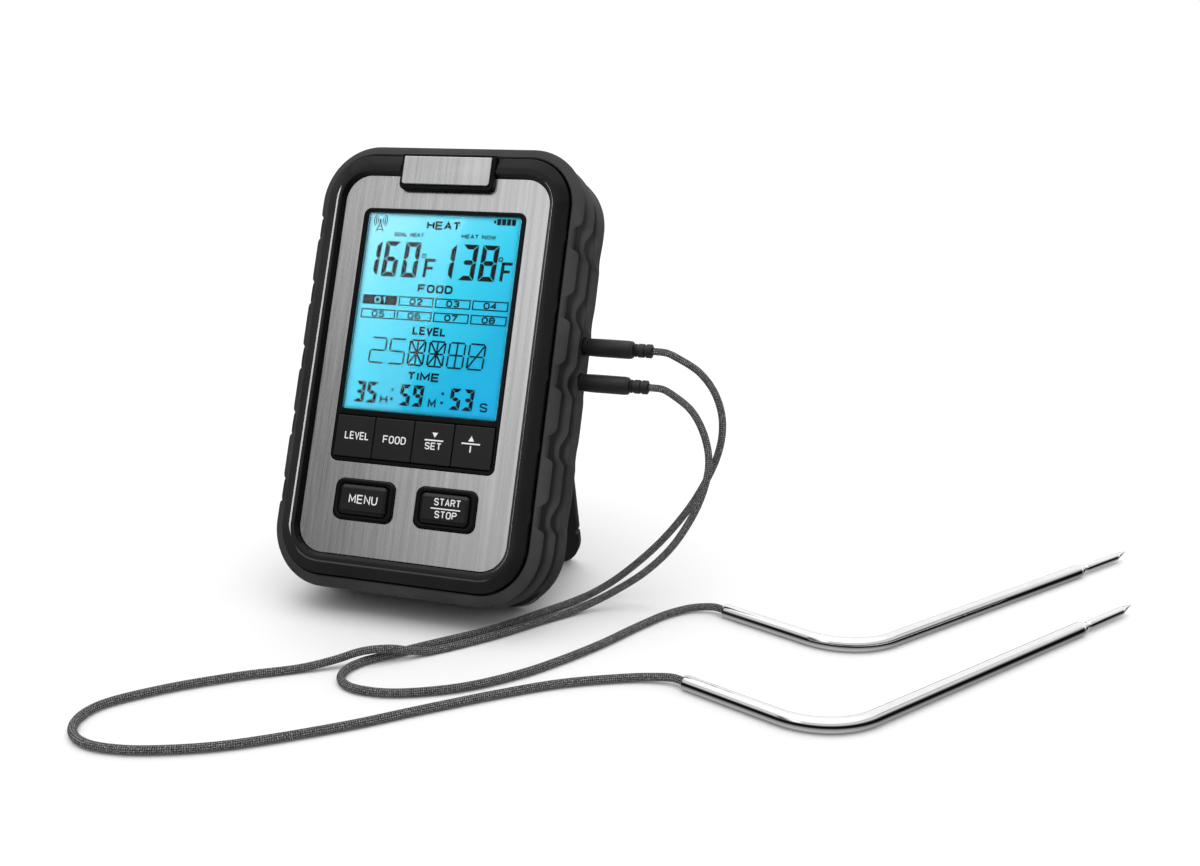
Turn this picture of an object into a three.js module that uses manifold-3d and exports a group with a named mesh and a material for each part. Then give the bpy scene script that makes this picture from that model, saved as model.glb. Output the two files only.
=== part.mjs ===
// A two-probe meat thermometer: a hand-held display unit that leans back on a fold-out stand,
// and two plug-in probe leads that lie on the table beside it.
// Millimetres, +Z up. The display faces -Y, the sockets face +X, and the table is the plane z = 0.
// The origin is under the middle of the display unit's box.
// The unit's own pieces are drawn face-on: x across, y up the face, z out of the face from the
// steel plate's front. One turned group then leans them all back together.

import * as THREE from 'three';
import { mergeVertices } from 'three/addons/utils/BufferGeometryUtils.js';
import Module from 'manifold-3d';

const wasm = await Module();
wasm.setup();

// ---------------------------------------------------------------- driving dimensions

const GAP = 0.3; // between pieces that meet
const LEAN = THREE.MathUtils.degToRad(23.4); // how far the unit leans back

const FACE = { halfWidth: 33, height: 115, radius: 8, thickness: 0.6 }; // steel plate
const BODY = { side: 9.6, ends: 10.2, back: -25.8, wall: 1.8 }; // how far the case reaches past it
const BAND_FRONT = -18.5; // front of the rear shell's wide band
const BEZEL_BACK = -5.5;

const WINDOW = { halfWidth: 26.3, bottom: 27.4, top: 104.8, radius: 1 }; // opening in the plate
const SCREEN = { halfWidth: 24.9, bottom: 43.1, top: 103.8 }; // lit part of the display
const STRIP = { halfWidth: 25.4, bottom: 28.6, top: 41.4, keys: 4 };
const ROUND_KEY = { offset: 13, centre: 16.4, halfWidth: 7.8, halfHeight: 4.6, radius: 1.4 };
const COLLAR = { halfWidth: 9.6, halfHeight: 6.15, radius: 2.2 };
const KEY_BACK = -6;
const BADGE = { halfWidth: 15.2, bottom: 110.4, top: 121.6, front: 2.4 };

const BOARD = { halfWidth: 36, bottom: -3, top: 118, front: -9, back: -10.4 };
const CELL = { radius: 5.25, length: 44.5, spacing: 11.2, middle: 95.6, depth: -18.1 }; // AAA
const DOOR = { halfWidth: 26.5, bottom: 79, front: -24 };

const STAND = { pinHeight: 52, pinDepth: -23.4, halfWidth: 37, thickness: 2.9, radius: 9 };
const OPENING = THREE.MathUtils.degToRad(39); // stand away from the back
const PIN_RADIUS = 1;
const KNUCKLE = 2.3;

const SOCKETS = [70.4, 59.5]; // heights up the face
const PLUG_DEPTH = -21;
const PLUG = { start: 43, barrel: 14.5, barrelRadius: 2.75, reliefRadius: 2.15, relief: 5.7 };
const PLUG_PIN = { radius: 1.25, length: 13 };

const CORD_RADIUS = 1.1;
const PROBE = { radius: 2, shortArm: 43, longArm: 101.2, bend: 20, turn: 74 };
const TIP = { length: 25, radius: 1.2, point: 6 };

// ---------------------------------------------------------------- materials

function material(colour, roughness, metalness = 0) {
  return new THREE.MeshStandardMaterial({ color: colour, roughness, metalness });
}

const glossBlack = material(0x101011, 0.2);
const satinBlack = material(0x161617, 0.45);
const mattBlack = material(0x1b1b1c, 0.7);
const rubber = material(0x232324, 0.85);
const brushedSteel = material(0xa9aaab, 0.35, 1);
const polishedSteel = material(0xd8d9da, 0.08, 1);
const springSteel = material(0xb4b6b8, 0.3, 1);
const braid = material(0x3a3b3d, 0.9);
const clear = material(0xe8f4f6, 0.05);
const litDisplay = material(0x35c4f0, 0.2);
const diffuser = material(0xdff3fb, 0.4);
const boardGreen = material(0x1d5c35, 0.5);
const brass = material(0xc9a24b, 0.3, 1);
const cellWrap = material(0x2c2f33, 0.4);
const silicone = material(0x2f3032, 0.8);

// ---------------------------------------------------------------- shape helpers

function roundedRectangle(left, right, bottom, top, radius) {
  const shape = new THREE.Shape();
  shape.moveTo(left + radius, bottom);
  shape.lineTo(right - radius, bottom);
  shape.absarc(right - radius, bottom + radius, radius, -Math.PI / 2, 0);
  shape.lineTo(right, top - radius);
  shape.absarc(right - radius, top - radius, radius, 0, Math.PI / 2);
  shape.lineTo(left + radius, top);
  shape.absarc(left + radius, top - radius, radius, Math.PI / 2, Math.PI);
  shape.lineTo(left, bottom + radius);
  shape.absarc(left + radius, bottom + radius, radius, Math.PI, Math.PI * 1.5);
  return shape;
}

// A flap: square at the top, round at its two lower corners.
function flapOutline(halfWidth, bottom, top, radius) {
  const shape = new THREE.Shape();
  shape.moveTo(-halfWidth, top);
  shape.lineTo(-halfWidth, bottom + radius);
  shape.absarc(-halfWidth + radius, bottom + radius, radius, Math.PI, Math.PI * 1.5);
  shape.lineTo(halfWidth - radius, bottom);
  shape.absarc(halfWidth - radius, bottom + radius, radius, -Math.PI / 2, 0);
  shape.lineTo(halfWidth, top);
  return shape;
}

// The plate's outline grown by `side` left and right and by `ends` above and below.
function caseOutline(side, ends) {
  const radius = FACE.radius + side;
  return roundedRectangle(
    -FACE.halfWidth - side, FACE.halfWidth + side, -ends, FACE.height + ends, radius,
  );
}

function slab(shape, back, front, curveSegments = 5) {
  const geometry = new THREE.ExtrudeGeometry(shape, {
    depth: front - back, bevelEnabled: false, curveSegments,
  });
  return geometry.translate(0, 0, back);
}

function block(left, right, bottom, top, back, front) {
  const geometry = new THREE.BoxGeometry(right - left, top - bottom, front - back);
  return geometry.translate((left + right) / 2, (bottom + top) / 2, (back + front) / 2);
}

// A cylinder along x, from `left` to `right`.
function barAlongX(radius, left, right, y, z, sides = 16) {
  const geometry = new THREE.CylinderGeometry(radius, radius, right - left, sides);
  return geometry.rotateZ(Math.PI / 2).translate((left + right) / 2, y, z);
}

// A cylinder along z, from `back` to `front`.
function barAlongZ(radius, x, y, back, front, sides = 16) {
  const geometry = new THREE.CylinderGeometry(radius, radius, front - back, sides);
  return geometry.rotateX(Math.PI / 2).translate(x, y, (back + front) / 2);
}

function solid(geometry) {
  const bare = geometry.clone();
  bare.deleteAttribute('normal');
  bare.deleteAttribute('uv');
  const merged = mergeVertices(bare, 1e-4);
  return new wasm.Manifold(new wasm.Mesh({
    numProp: 3,
    vertProperties: new Float32Array(merged.attributes.position.array),
    triVerts: new Uint32Array(merged.index.array),
  }));
}

function geometryOf(manifold) {
  const mesh = manifold.getMesh();
  const geometry = new THREE.BufferGeometry();
  geometry.setAttribute('position', new THREE.BufferAttribute(new Float32Array(mesh.vertProperties), 3));
  geometry.setIndex(new THREE.BufferAttribute(new Uint32Array(mesh.triVerts), 1));
  geometry.computeVertexNormals();
  return geometry;
}

function carve(base, { add = [], cut = [] }) {
  let body = solid(base);
  for (const piece of add) {
    body = body.add(solid(piece));
  }
  for (const piece of cut) {
    body = body.subtract(solid(piece));
  }
  return geometryOf(body);
}

// Sweeps a closed section round the case. Each section point is [outward from the plate, height].
function ringRoundCase(section, stretch) {
  const cornerSteps = 6;
  const outline = [];
  const centres = [
    [1, 0, -90], [1, 1, 0], [-1, 1, 90], [-1, 0, 180],
  ];
  for (const [side, upper, start] of centres) {
    const x = side * (FACE.halfWidth - FACE.radius);
    const y = upper ? FACE.height - FACE.radius : FACE.radius;
    for (let step = 0; step <= cornerSteps; step += 1) {
      const angle = THREE.MathUtils.degToRad(start + (90 * step) / cornerSteps);
      outline.push({ x, y, angle });
    }
  }
  const positions = [];
  for (const { x, y, angle } of outline) {
    for (const [outward, height] of section) {
      const radius = FACE.radius + outward;
      const extra = (stretch * outward) / BODY.side;
      positions.push(x + radius * Math.cos(angle), y + (radius + extra) * Math.sin(angle), height);
    }
  }
  const count = section.length;
  const indices = [];
  for (let i = 0; i < outline.length; i += 1) {
    const next = (i + 1) % outline.length;
    for (let j = 0; j < count; j += 1) {
      const after = (j + 1) % count;
      const corners = [i * count + j, next * count + j, next * count + after, i * count + after];
      indices.push(corners[0], corners[2], corners[1], corners[0], corners[3], corners[2]);
    }
  }
  const geometry = new THREE.BufferGeometry();
  geometry.setAttribute('position', new THREE.Float32BufferAttribute(positions, 3));
  geometry.setIndex(indices);
  geometry.computeVertexNormals();
  return geometry;
}

function mesh(name, geometry, look, parent) {
  const piece = new THREE.Mesh(geometry, look);
  piece.name = name;
  parent.add(piece);
  return piece;
}

// ---------------------------------------------------------------- front of the case

function bezel(parent) {
  const rim = BODY.side - 3.8;
  const section = [
    [-2, -2.6], [-2, -0.9], [GAP, -0.9], [GAP, 0.8], [1.2, 1.5], [2.8, 1.5], [4.6, 0.9],
    [rim, 0.2], [rim, BEZEL_BACK], [rim - 1.8, BEZEL_BACK], [rim - 1.8, -2.6],
  ];
  const seat = block(-BADGE.halfWidth - GAP, BADGE.halfWidth + GAP,
    BADGE.bottom, BADGE.top + GAP, 0, BADGE.front + 2);
  const geometry = carve(ringRoundCase(section, BODY.ends - BODY.side), { cut: [seat] });
  mesh('bezel', geometry, glossBlack, parent);
}

function facePlate(parent) {
  const outline = roundedRectangle(-FACE.halfWidth, FACE.halfWidth, 0, FACE.height, FACE.radius);
  outline.holes.push(roundedRectangle(
    -WINDOW.halfWidth, WINDOW.halfWidth, WINDOW.bottom, WINDOW.top, WINDOW.radius,
  ));
  for (const side of [-1, 1]) {
    outline.holes.push(roundedRectangle(
      side * ROUND_KEY.offset - COLLAR.halfWidth, side * ROUND_KEY.offset + COLLAR.halfWidth,
      ROUND_KEY.centre - COLLAR.halfHeight, ROUND_KEY.centre + COLLAR.halfHeight, COLLAR.radius,
    ));
  }
  mesh('face_plate', slab(outline, -FACE.thickness, 0), brushedSteel, parent);
}

// The black frame that fills the plate's opening round the display and the key strip.
function windowFrame(parent) {
  const outline = roundedRectangle(
    -WINDOW.halfWidth + GAP, WINDOW.halfWidth - GAP,
    WINDOW.bottom + GAP, WINDOW.top - GAP, WINDOW.radius,
  );
  outline.holes.push(roundedRectangle(
    -SCREEN.halfWidth, SCREEN.halfWidth, SCREEN.bottom, SCREEN.top, 0.5,
  ));
  outline.holes.push(roundedRectangle(
    -STRIP.halfWidth, STRIP.halfWidth, STRIP.bottom, STRIP.top, 0.5,
  ));
  mesh('window_frame', slab(outline, -3.4, 0.2), satinBlack, parent);
}

function display(parent) {
  const { halfWidth, bottom, top } = SCREEN;
  const side = halfWidth - GAP;
  const lens = roundedRectangle(-side, side, bottom + GAP, top - GAP, 0.4);
  mesh('display_lens', slab(lens, -0.7, -0.1), clear, parent);
  mesh('display_glass', block(-side, side, bottom + GAP, top - GAP, -3.2, -1), litDisplay, parent);
  mesh('backlight', block(-27, 27, bottom + 4, top, -6.4, -3.7), diffuser, parent);
  mesh('contact_strip', block(-24, 24, bottom + GAP, bottom + 2.8, -8.7, -3.5), silicone, parent);
}

function badge(parent) {
  const { halfWidth, bottom, top, front } = BADGE;
  const outline = roundedRectangle(-halfWidth, halfWidth, bottom + GAP, top, 1.6);
  const tray = slab(outline, GAP, front - 0.5);
  mesh('badge_holder', tray, glossBlack, parent);
  const blank = roundedRectangle(-halfWidth + 1.2, halfWidth - 1.2, bottom + 1.6, top - 1.2, 0.8);
  mesh('badge_plate', slab(blank, front - 0.5 + GAP, front + GAP), brushedSteel, parent);
}

// ---------------------------------------------------------------- keys

function stripKeys(parent) {
  const pitch = (2 * STRIP.halfWidth) / STRIP.keys;
  for (let index = 0; index < STRIP.keys; index += 1) {
    const left = -STRIP.halfWidth + index * pitch + GAP;
    const right = left + pitch - 2 * GAP;
    const outline = roundedRectangle(left, right, STRIP.bottom + GAP, STRIP.top - GAP, 0.5);
    mesh(`strip_key_${index + 1}`, slab(outline, KEY_BACK, 0.5), satinBlack, parent);
  }
}

function framedKey(name, side, parent) {
  const x = side * ROUND_KEY.offset;
  const y = ROUND_KEY.centre;
  const outer = roundedRectangle(
    x - COLLAR.halfWidth + GAP, x + COLLAR.halfWidth - GAP,
    y - COLLAR.halfHeight + GAP, y + COLLAR.halfHeight - GAP, COLLAR.radius,
  );
  outer.holes.push(roundedRectangle(
    x - ROUND_KEY.halfWidth, x + ROUND_KEY.halfWidth,
    y - ROUND_KEY.halfHeight, y + ROUND_KEY.halfHeight, ROUND_KEY.radius,
  ));
  mesh(`${name}_collar`, slab(outer, -3.4, 1.2), satinBlack, parent);
  const cap = roundedRectangle(
    x - ROUND_KEY.halfWidth + GAP, x + ROUND_KEY.halfWidth - GAP,
    y - ROUND_KEY.halfHeight + GAP, y + ROUND_KEY.halfHeight - GAP, ROUND_KEY.radius,
  );
  mesh(`${name}_key`, slab(cap, KEY_BACK, 1.9), satinBlack, parent);
}

function keypadMat(parent) {
  mesh('keypad_mat', block(-27, 27, 8.5, 41.8, -8.7, -7.1), silicone, parent);
}

// ---------------------------------------------------------------- inside

function circuitBoard(parent) {
  const { halfWidth, bottom, top, back, front } = BOARD;
  const outline = roundedRectangle(-halfWidth, halfWidth, bottom, top, 9);
  mesh('circuit_board', slab(outline, back, front), boardGreen, parent);
}

function buzzer(parent) {
  mesh('buzzer', barAlongZ(8, -18, 68, BOARD.back - 3.6, BOARD.back - GAP, 20), mattBlack, parent);
}

// A coiled wire that stands on the board and links the unit to its remote.
function antenna(parent) {
  const turns = 7;
  const radius = 2;
  class Helix extends THREE.Curve {
    getPoint(t, target = new THREE.Vector3()) {
      const angle = t * turns * 2 * Math.PI;
      return target.set(radius * Math.cos(angle), 18 * t, radius * Math.sin(angle));
    }
  }
  const section = new THREE.Shape();
  section.absarc(0, 0, 0.4, 0, 2 * Math.PI);
  const coil = new THREE.ExtrudeGeometry(section, {
    steps: 56, curveSegments: 4, extrudePath: new Helix(),
  });
  coil.translate(33, 84, BOARD.back - 4);
  mesh('antenna_coil', coil, springSteel, parent);
}

function jackSockets(parent) {
  SOCKETS.forEach((height, index) => {
    const body = block(24, 37.3, height - 2.4, height + 2.4, -23.6, BOARD.back - GAP);
    const bore = barAlongX(PLUG_PIN.radius + GAP, 28.5, 41, height, PLUG_DEPTH);
    const name = index === 0 ? 'socket_upper' : 'socket_lower';
    mesh(name, carve(body, { cut: [bore] }), mattBlack, parent);
  });
}

function batteries(parent) {
  const { radius, length, spacing, middle, depth } = CELL;
  const half = length / 2;
  for (const [index, side] of [-1, 1].entries()) {
    const y = middle + (side * spacing) / 2;
    const profile = [
      [0, -half], [radius * 0.7, -half], [radius, -half + 0.5], [radius, half - 1.6],
      [1.9, half - 1], [1.9, half], [0, half],
    ].map(([r, h]) => new THREE.Vector2(r, h));
    const cell = new THREE.LatheGeometry(profile, 18);
    cell.rotateZ((side * Math.PI) / 2).translate(0, y, depth);
    mesh(`battery_${index + 1}`, cell, cellWrap, parent);
    const plate = side * (half + GAP);
    const spring = -side * (half + GAP);
    const flat = block(Math.min(plate, plate + side * 0.5), Math.max(plate, plate + side * 0.5),
      y - 3.8, y + 3.8, depth - 4, depth + 4);
    mesh(`contact_plate_${index + 1}`, flat, springSteel, parent);
    const cone = new THREE.LatheGeometry([
      new THREE.Vector2(0, 0), new THREE.Vector2(3.6, 0), new THREE.Vector2(1.8, 2.6),
      new THREE.Vector2(0, 2.6),
    ], 12);
    cone.rotateZ((-side * Math.PI) / 2).translate(spring - side * 2.6, y, depth);
    mesh(`contact_spring_${index + 1}`, cone, springSteel, parent);
  }
}

// ---------------------------------------------------------------- back of the case

const SCREWS = [[-34.5, 112], [34.5, 112], [-30, 2], [30, 2]];
const BAY = { halfWidth: 26.8, bottom: 83.6, top: 107.6, floor: -11.2 };
const RECESS = {
  floor: BODY.back + STAND.thickness + GAP,
  halfWidth: STAND.halfWidth + GAP + 0.1,
  bottom: -8.6,
  top: STAND.pinHeight + KNUCKLE + 1,
};
const POCKET_FLOOR = STAND.pinDepth + KNUCKLE + GAP + 0.2;

function screwSeat(y) {
  return y < RECESS.top ? RECESS.floor : BODY.back;
}

// A point of the table below the case, seen in the unit's own upright frame.
const LAND_CUT = 0.6;
const FLOOR_DROP = BODY.ends * Math.cos(LEAN) - BODY.back * Math.sin(LEAN) - LAND_CUT;

function floorBlock() {
  const geometry = new THREE.BoxGeometry(400, 400, 40);
  geometry.translate(0, 0, -20 - FLOOR_DROP);
  return geometry.rotateX(LEAN - Math.PI / 2);
}

function rearShell(parent) {
  const band = slab(caseOutline(BODY.side, BODY.ends), BODY.back, BAND_FRONT, 8);
  const tubInset = 3.1;
  const tub = slab(
    caseOutline(BODY.side - tubInset, BODY.ends - tubInset), BAND_FRONT - 1, BEZEL_BACK - GAP, 8,
  );
  const inset = tubInset + BODY.wall;
  const cavity = slab(
    caseOutline(BODY.side - inset, BODY.ends - inset), BODY.back + BODY.wall, 0, 8,
  );
  const bayBox = block(-BAY.halfWidth - 1.2, BAY.halfWidth + 1.2,
    BAY.bottom - 1.2, BAY.top + 1.2, BODY.back + 0.5, BAY.floor);
  const bayRoom = block(-BAY.halfWidth, BAY.halfWidth, BAY.bottom, BAY.top,
    BODY.back - 1, BAY.floor - 1);
  const doorRoom = block(-DOOR.halfWidth - GAP, DOOR.halfWidth + GAP,
    DOOR.bottom - GAP, FACE.height + 20, BODY.back - 1, DOOR.front + GAP);
  const standFloor = slab(flapOutline(RECESS.halfWidth + 1, RECESS.bottom - 1, RECESS.top,
    STAND.radius + 1), BODY.back + 0.5, RECESS.floor + 1.5);
  const pocket = block(-RECESS.halfWidth - 1, RECESS.halfWidth + 1,
    STAND.pinHeight - KNUCKLE - 2, RECESS.top + 1, BODY.back + 0.5, POCKET_FLOOR + 1.4);
  const standRoom = slab(flapOutline(RECESS.halfWidth, RECESS.bottom, RECESS.top, STAND.radius),
    BODY.back - 1, RECESS.floor);
  const pocketRoom = block(-RECESS.halfWidth, RECESS.halfWidth,
    STAND.pinHeight - KNUCKLE - 1, RECESS.top, BODY.back - 1, POCKET_FLOOR);
  const pinHole = barAlongX(PIN_RADIUS + GAP, -40, 40, STAND.pinHeight, STAND.pinDepth);
  const bosses = SCREWS.map(([x, y]) => barAlongZ(3.6, x, y, BODY.back + 1, -12.5));
  const screwRoom = SCREWS.flatMap(([x, y]) => [
    barAlongZ(1.5, x, y, screwSeat(y) - 1, -12),
    barAlongZ(2.8, x, y, screwSeat(y) - 1, screwSeat(y) + 2.2),
  ]);
  const plugHoles = SOCKETS.map((height) => barAlongX(1.9, 36, 44, height, PLUG_DEPTH));
  let body = solid(band).add(solid(tub)).subtract(solid(cavity));
  for (const piece of [bayBox, standFloor, pocket, ...bosses]) {
    body = body.add(solid(piece));
  }
  for (const piece of [standRoom, bayRoom, doorRoom, pocketRoom, pinHole, ...screwRoom, ...plugHoles]) {
    body = body.subtract(solid(piece));
  }
  body = body.subtract(solid(floorBlock()));
  mesh('rear_shell', geometryOf(body), mattBlack, parent);
}

// The rubber sleeve round the case. Its ribs overlap like scales: each rises slowly towards the
// back and ends in a step, and the sleeve's front lip rises from the bezel's rim.
function gripSleeve(parent) {
  const { side } = BODY;
  const lip = side - 3.5;
  const inner = side - 2.4;
  const front = BEZEL_BACK - GAP / 2;
  const back = BAND_FRONT + GAP;
  const section = [
    [lip, front], [lip, -0.8], [side - 2.2, -0.7], [side - 0.2, -2.6], [side - 0.2, -3.2],
    [side - 1.2, -4], [side - 1, -6.4], [side, -12.6], [side, -13.6], [side - 1.2, -14.6],
    [side - 1, back], [inner, back], [inner, front],
  ];
  const geometry = ringRoundCase(section, BODY.ends - BODY.side);
  mesh('grip_sleeve', geometry, rubber, parent);
}

function screws(parent) {
  SCREWS.forEach(([x, y], index) => {
    const seat = screwSeat(y);
    const head = barAlongZ(2.4, x, y, seat + 0.2, seat + 1.9, 12);
    const shank = barAlongZ(1.2, x, y, seat + 1.5, -13, 12);
    mesh(`case_screw_${index + 1}`, carve(head, { add: [shank] }), springSteel, parent);
  });
}

function batteryDoor(parent) {
  const top = FACE.height + BODY.ends;
  const radius = FACE.radius + BODY.side;
  const arcCentreX = FACE.halfWidth + BODY.side - radius;
  const reach = Math.sqrt(radius ** 2 - (DOOR.halfWidth - arcCentreX) ** 2);
  const shoulder = top - radius + reach;
  const outline = new THREE.Shape();
  outline.moveTo(-DOOR.halfWidth + 1, DOOR.bottom);
  outline.lineTo(DOOR.halfWidth - 1, DOOR.bottom);
  outline.lineTo(DOOR.halfWidth, DOOR.bottom + 1);
  outline.lineTo(DOOR.halfWidth, shoulder);
  outline.lineTo(arcCentreX, top);
  outline.lineTo(-arcCentreX, top);
  outline.lineTo(-DOOR.halfWidth, shoulder);
  outline.lineTo(-DOOR.halfWidth, DOOR.bottom + 1);
  mesh('battery_door', slab(outline, BODY.back, DOOR.front), mattBlack, parent);
}

// ---------------------------------------------------------------- stand

function stand(parent) {
  const pivot = new THREE.Group();
  pivot.position.set(0, STAND.pinHeight, STAND.pinDepth);
  pivot.rotation.x = OPENING;
  parent.add(pivot);
  const pinAboveTable = FLOOR_DROP + STAND.pinHeight * Math.cos(LEAN) + STAND.pinDepth * Math.sin(LEAN);
  const tilt = OPENING - LEAN;
  const back = BODY.back - STAND.pinDepth;
  const front = back + STAND.thickness;
  const table = new THREE.BoxGeometry(200, 40, 200);
  table.translate(0, -20 - pinAboveTable, 0);
  table.rotateX(-tilt);
  const footLine = pinAboveTable / Math.cos(tilt);
  const blade = slab(flapOutline(STAND.halfWidth, -footLine - 0.9, 1.2, STAND.radius), back, front);
  const barrel = barAlongX(KNUCKLE, -STAND.halfWidth, STAND.halfWidth, 0, 0, 20);
  const bore = barAlongX(PIN_RADIUS + GAP, -50, 50, 0, 0);
  mesh('stand', carve(blade, { add: [barrel], cut: [bore, table] }), mattBlack, pivot);
}

function standPin(parent) {
  const pin = barAlongX(PIN_RADIUS, -39.6, 39.6, STAND.pinHeight, STAND.pinDepth, 12);
  mesh('stand_pin', pin, springSteel, parent);
}

// ---------------------------------------------------------------- probe leads

class BentRod extends THREE.Curve {
  constructor(start, heading, firstLength, bendRadius, turn, secondLength) {
    super();
    Object.assign(this, { start, heading, firstLength, bendRadius, turn, secondLength });
  }

  getPoint(t, target = new THREE.Vector3()) {
    const arc = this.bendRadius * this.turn;
    const along = t * (this.firstLength + arc + this.secondLength);
    const straight = Math.min(along, this.firstLength);
    const turned = Math.min(Math.max(along - this.firstLength, 0), arc) / this.bendRadius;
    const rest = Math.max(along - this.firstLength - arc, 0);
    const x = straight + this.bendRadius * Math.sin(turned) + rest * Math.cos(turned);
    const y = this.bendRadius * (1 - Math.cos(turned)) + rest * Math.sin(turned);
    const cos = Math.cos(this.heading);
    const sin = Math.sin(this.heading);
    return target.set(
      this.start.x + x * cos - y * sin, this.start.y + x * sin + y * cos, this.start.z,
    );
  }
}

function tube(curve, radius, sides, steps) {
  const section = new THREE.Shape();
  for (let side = 0; side < sides; side += 1) {
    const angle = ((side + 0.5) * 2 * Math.PI) / sides;
    const x = radius * Math.cos(angle);
    const y = radius * Math.sin(angle);
    if (side === 0) {
      section.moveTo(x, y);
    } else {
      section.lineTo(x, y);
    }
  }
  return new THREE.ExtrudeGeometry(section, { steps, extrudePath: curve });
}

function probe(name, start, headingDegrees, parent) {
  const heading = THREE.MathUtils.degToRad(headingDegrees);
  const turn = THREE.MathUtils.degToRad(PROBE.turn);
  const cut = PROBE.bend * Math.tan(turn / 2);
  const rod = new BentRod(
    start, heading, PROBE.shortArm - cut, PROBE.bend, turn, PROBE.longArm - cut,
  );
  mesh(`probe_shaft_${name}`, tube(rod, PROBE.radius, 12, 26), polishedSteel, parent);
  const end = rod.getPoint(1);
  const needle = new THREE.LatheGeometry([
    [0, GAP], [1.55, GAP], [1.55, 1.2], [TIP.radius, 2], [TIP.radius, TIP.length - TIP.point],
    [0.5, TIP.length - 1], [0, TIP.length],
  ].map(([r, h]) => new THREE.Vector2(r, h)), 12);
  needle.rotateZ(-Math.PI / 2).rotateZ(heading + turn).translate(end.x, end.y, end.z);
  mesh(`probe_tip_${name}`, needle, polishedSteel, parent);
}

function plug(name, height, parent) {
  const { start, barrel, barrelRadius, relief, reliefRadius } = PLUG;
  const end = start + barrel;
  const body = new THREE.LatheGeometry([
    [0, start], [barrelRadius, start], [barrelRadius, end - 0.8], [barrelRadius - 0.6, end], [0, end],
  ].map(([r, h]) => new THREE.Vector2(r, h)), 20);
  body.rotateZ(-Math.PI / 2).translate(0, height, PLUG_DEPTH);
  mesh(`plug_${name}`, body, mattBlack, parent);
  const pin = barAlongX(PLUG_PIN.radius, start - GAP - PLUG_PIN.length, start - GAP,
    height, PLUG_DEPTH, 12);
  mesh(`plug_pin_${name}`, pin, brass, parent);
  const cuff = barAlongX(reliefRadius, end + GAP, end + relief, height, PLUG_DEPTH, 12);
  mesh(`strain_relief_${name}`, cuff, rubber, parent);
}

// Each cord leaves its plug along +X, swings out and down to the table, runs forward, turns back
// and ends in its probe. The lower plug's cord crosses over the upper plug's on the table.
const TABLE_RUN = 1.3; // height of a cord's centre where it lies on the table
const UPPER_ROUTE = [
  [71.5, 12, 73.4], [77.5, 11.7, 70], [82.2, 11.2, 64.6], [84.8, 10.6, 58], [85.2, 9.9, 51.5],
  [83.9, 8.9, 44.6], [81.2, 7.6, 37.8], [76.8, 5.7, 29.6], [68.6, 2.6, 18.6], [57.4, -1, 7.8],
  [50.4, -4, 3], [45, -9.4, TABLE_RUN], [38.8, -19.2, TABLE_RUN], [28.8, -34.2, TABLE_RUN],
  [13.8, -50.4, TABLE_RUN], [7.2, -58, TABLE_RUN], [2.6, -63.4, TABLE_RUN],
  [0.6, -68.8, TABLE_RUN], [1.8, -73.6, TABLE_RUN], [5.6, -76.6, TABLE_RUN],
  [12.4, -77.4, TABLE_RUN], [20.4, -75.7, TABLE_RUN], [34, -68.4, TABLE_RUN],
  [46, -57, TABLE_RUN], [53.8, -46.4, TABLE_RUN], [61.3, -34, TABLE_RUN],
  [68.2, -20.2, TABLE_RUN], [74.4, -9.4, TABLE_RUN], [80.8, -3.3, 1.5],
];
const LOWER_ROUTE = [
  [70.6, 7.5, 63.6], [76.4, 6.6, 59.7], [80.4, 5, 54.2], [82.8, 3, 47.4], [83, 1.1, 41.6],
  [80.7, -1.7, 32.6], [74.6, -4.8, 21.3], [67, -7, 13], [58.4, -9, 6.6], [51.6, -12, 2.8],
  [46.4, -17, TABLE_RUN], [40.6, -24.4, TABLE_RUN], [31, -37.4, TABLE_RUN],
  [16.4, -52.8, 1.4], [8.6, -58.8, 3.9], [2.4, -62.6, 4], [-4, -66.7, 2.4],
  [-11.4, -71.6, TABLE_RUN], [-24.5, -80.2, TABLE_RUN], [-40, -92.8, TABLE_RUN],
  [-49.4, -104, TABLE_RUN], [-50.4, -110.4, TABLE_RUN], [-48.4, -115.4, TABLE_RUN],
  [-44.2, -119, TABLE_RUN], [-38.4, -120.6, TABLE_RUN], [-30.9, -120.1, TABLE_RUN],
  [-23.8, -118.2, TABLE_RUN], [-9.2, -111.7, TABLE_RUN], [13.7, -95.4, TABLE_RUN],
  [28.9, -82.1, TABLE_RUN], [45, -68.4, TABLE_RUN], [58.2, -58.6, TABLE_RUN],
  [71.6, -51.6, TABLE_RUN], [79.2, -48.9, 1.5],
];

function cord(name, exit, route, end, along, steps, parent) {
  const first = exit.clone().add(new THREE.Vector3(4, 0, -0.2));
  const middle = route.map(([x, y, z]) => new THREE.Vector3(x, y, z));
  const last = end.clone().addScaledVector(along, -3);
  const curve = new THREE.CatmullRomCurve3([exit, first, ...middle, last, end]);
  mesh(`cord_${name}`, tube(curve, CORD_RADIUS, 8, steps), braid, parent);
}

// Places one lead: its probe lies on the table from `elbow` back and away at `heading` degrees.
function lead(name, height, elbow, heading, route, steps, parent) {
  const plugEnd = PLUG.start + PLUG.barrel + PLUG.relief + GAP;
  const exit = unit.localToWorld(new THREE.Vector3(plugEnd, height, PLUG_DEPTH));
  const angle = THREE.MathUtils.degToRad(heading);
  const along = new THREE.Vector3(Math.cos(angle), Math.sin(angle), 0);
  const start = new THREE.Vector3(elbow[0], elbow[1], PROBE.radius)
    .addScaledVector(along, -PROBE.shortArm);
  probe(name, start, heading, parent);
  const end = start.clone().addScaledVector(along, -GAP);
  cord(name, exit, route, end, along, steps, parent);
}

// ---------------------------------------------------------------- assembly

const group = new THREE.Group();

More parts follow.
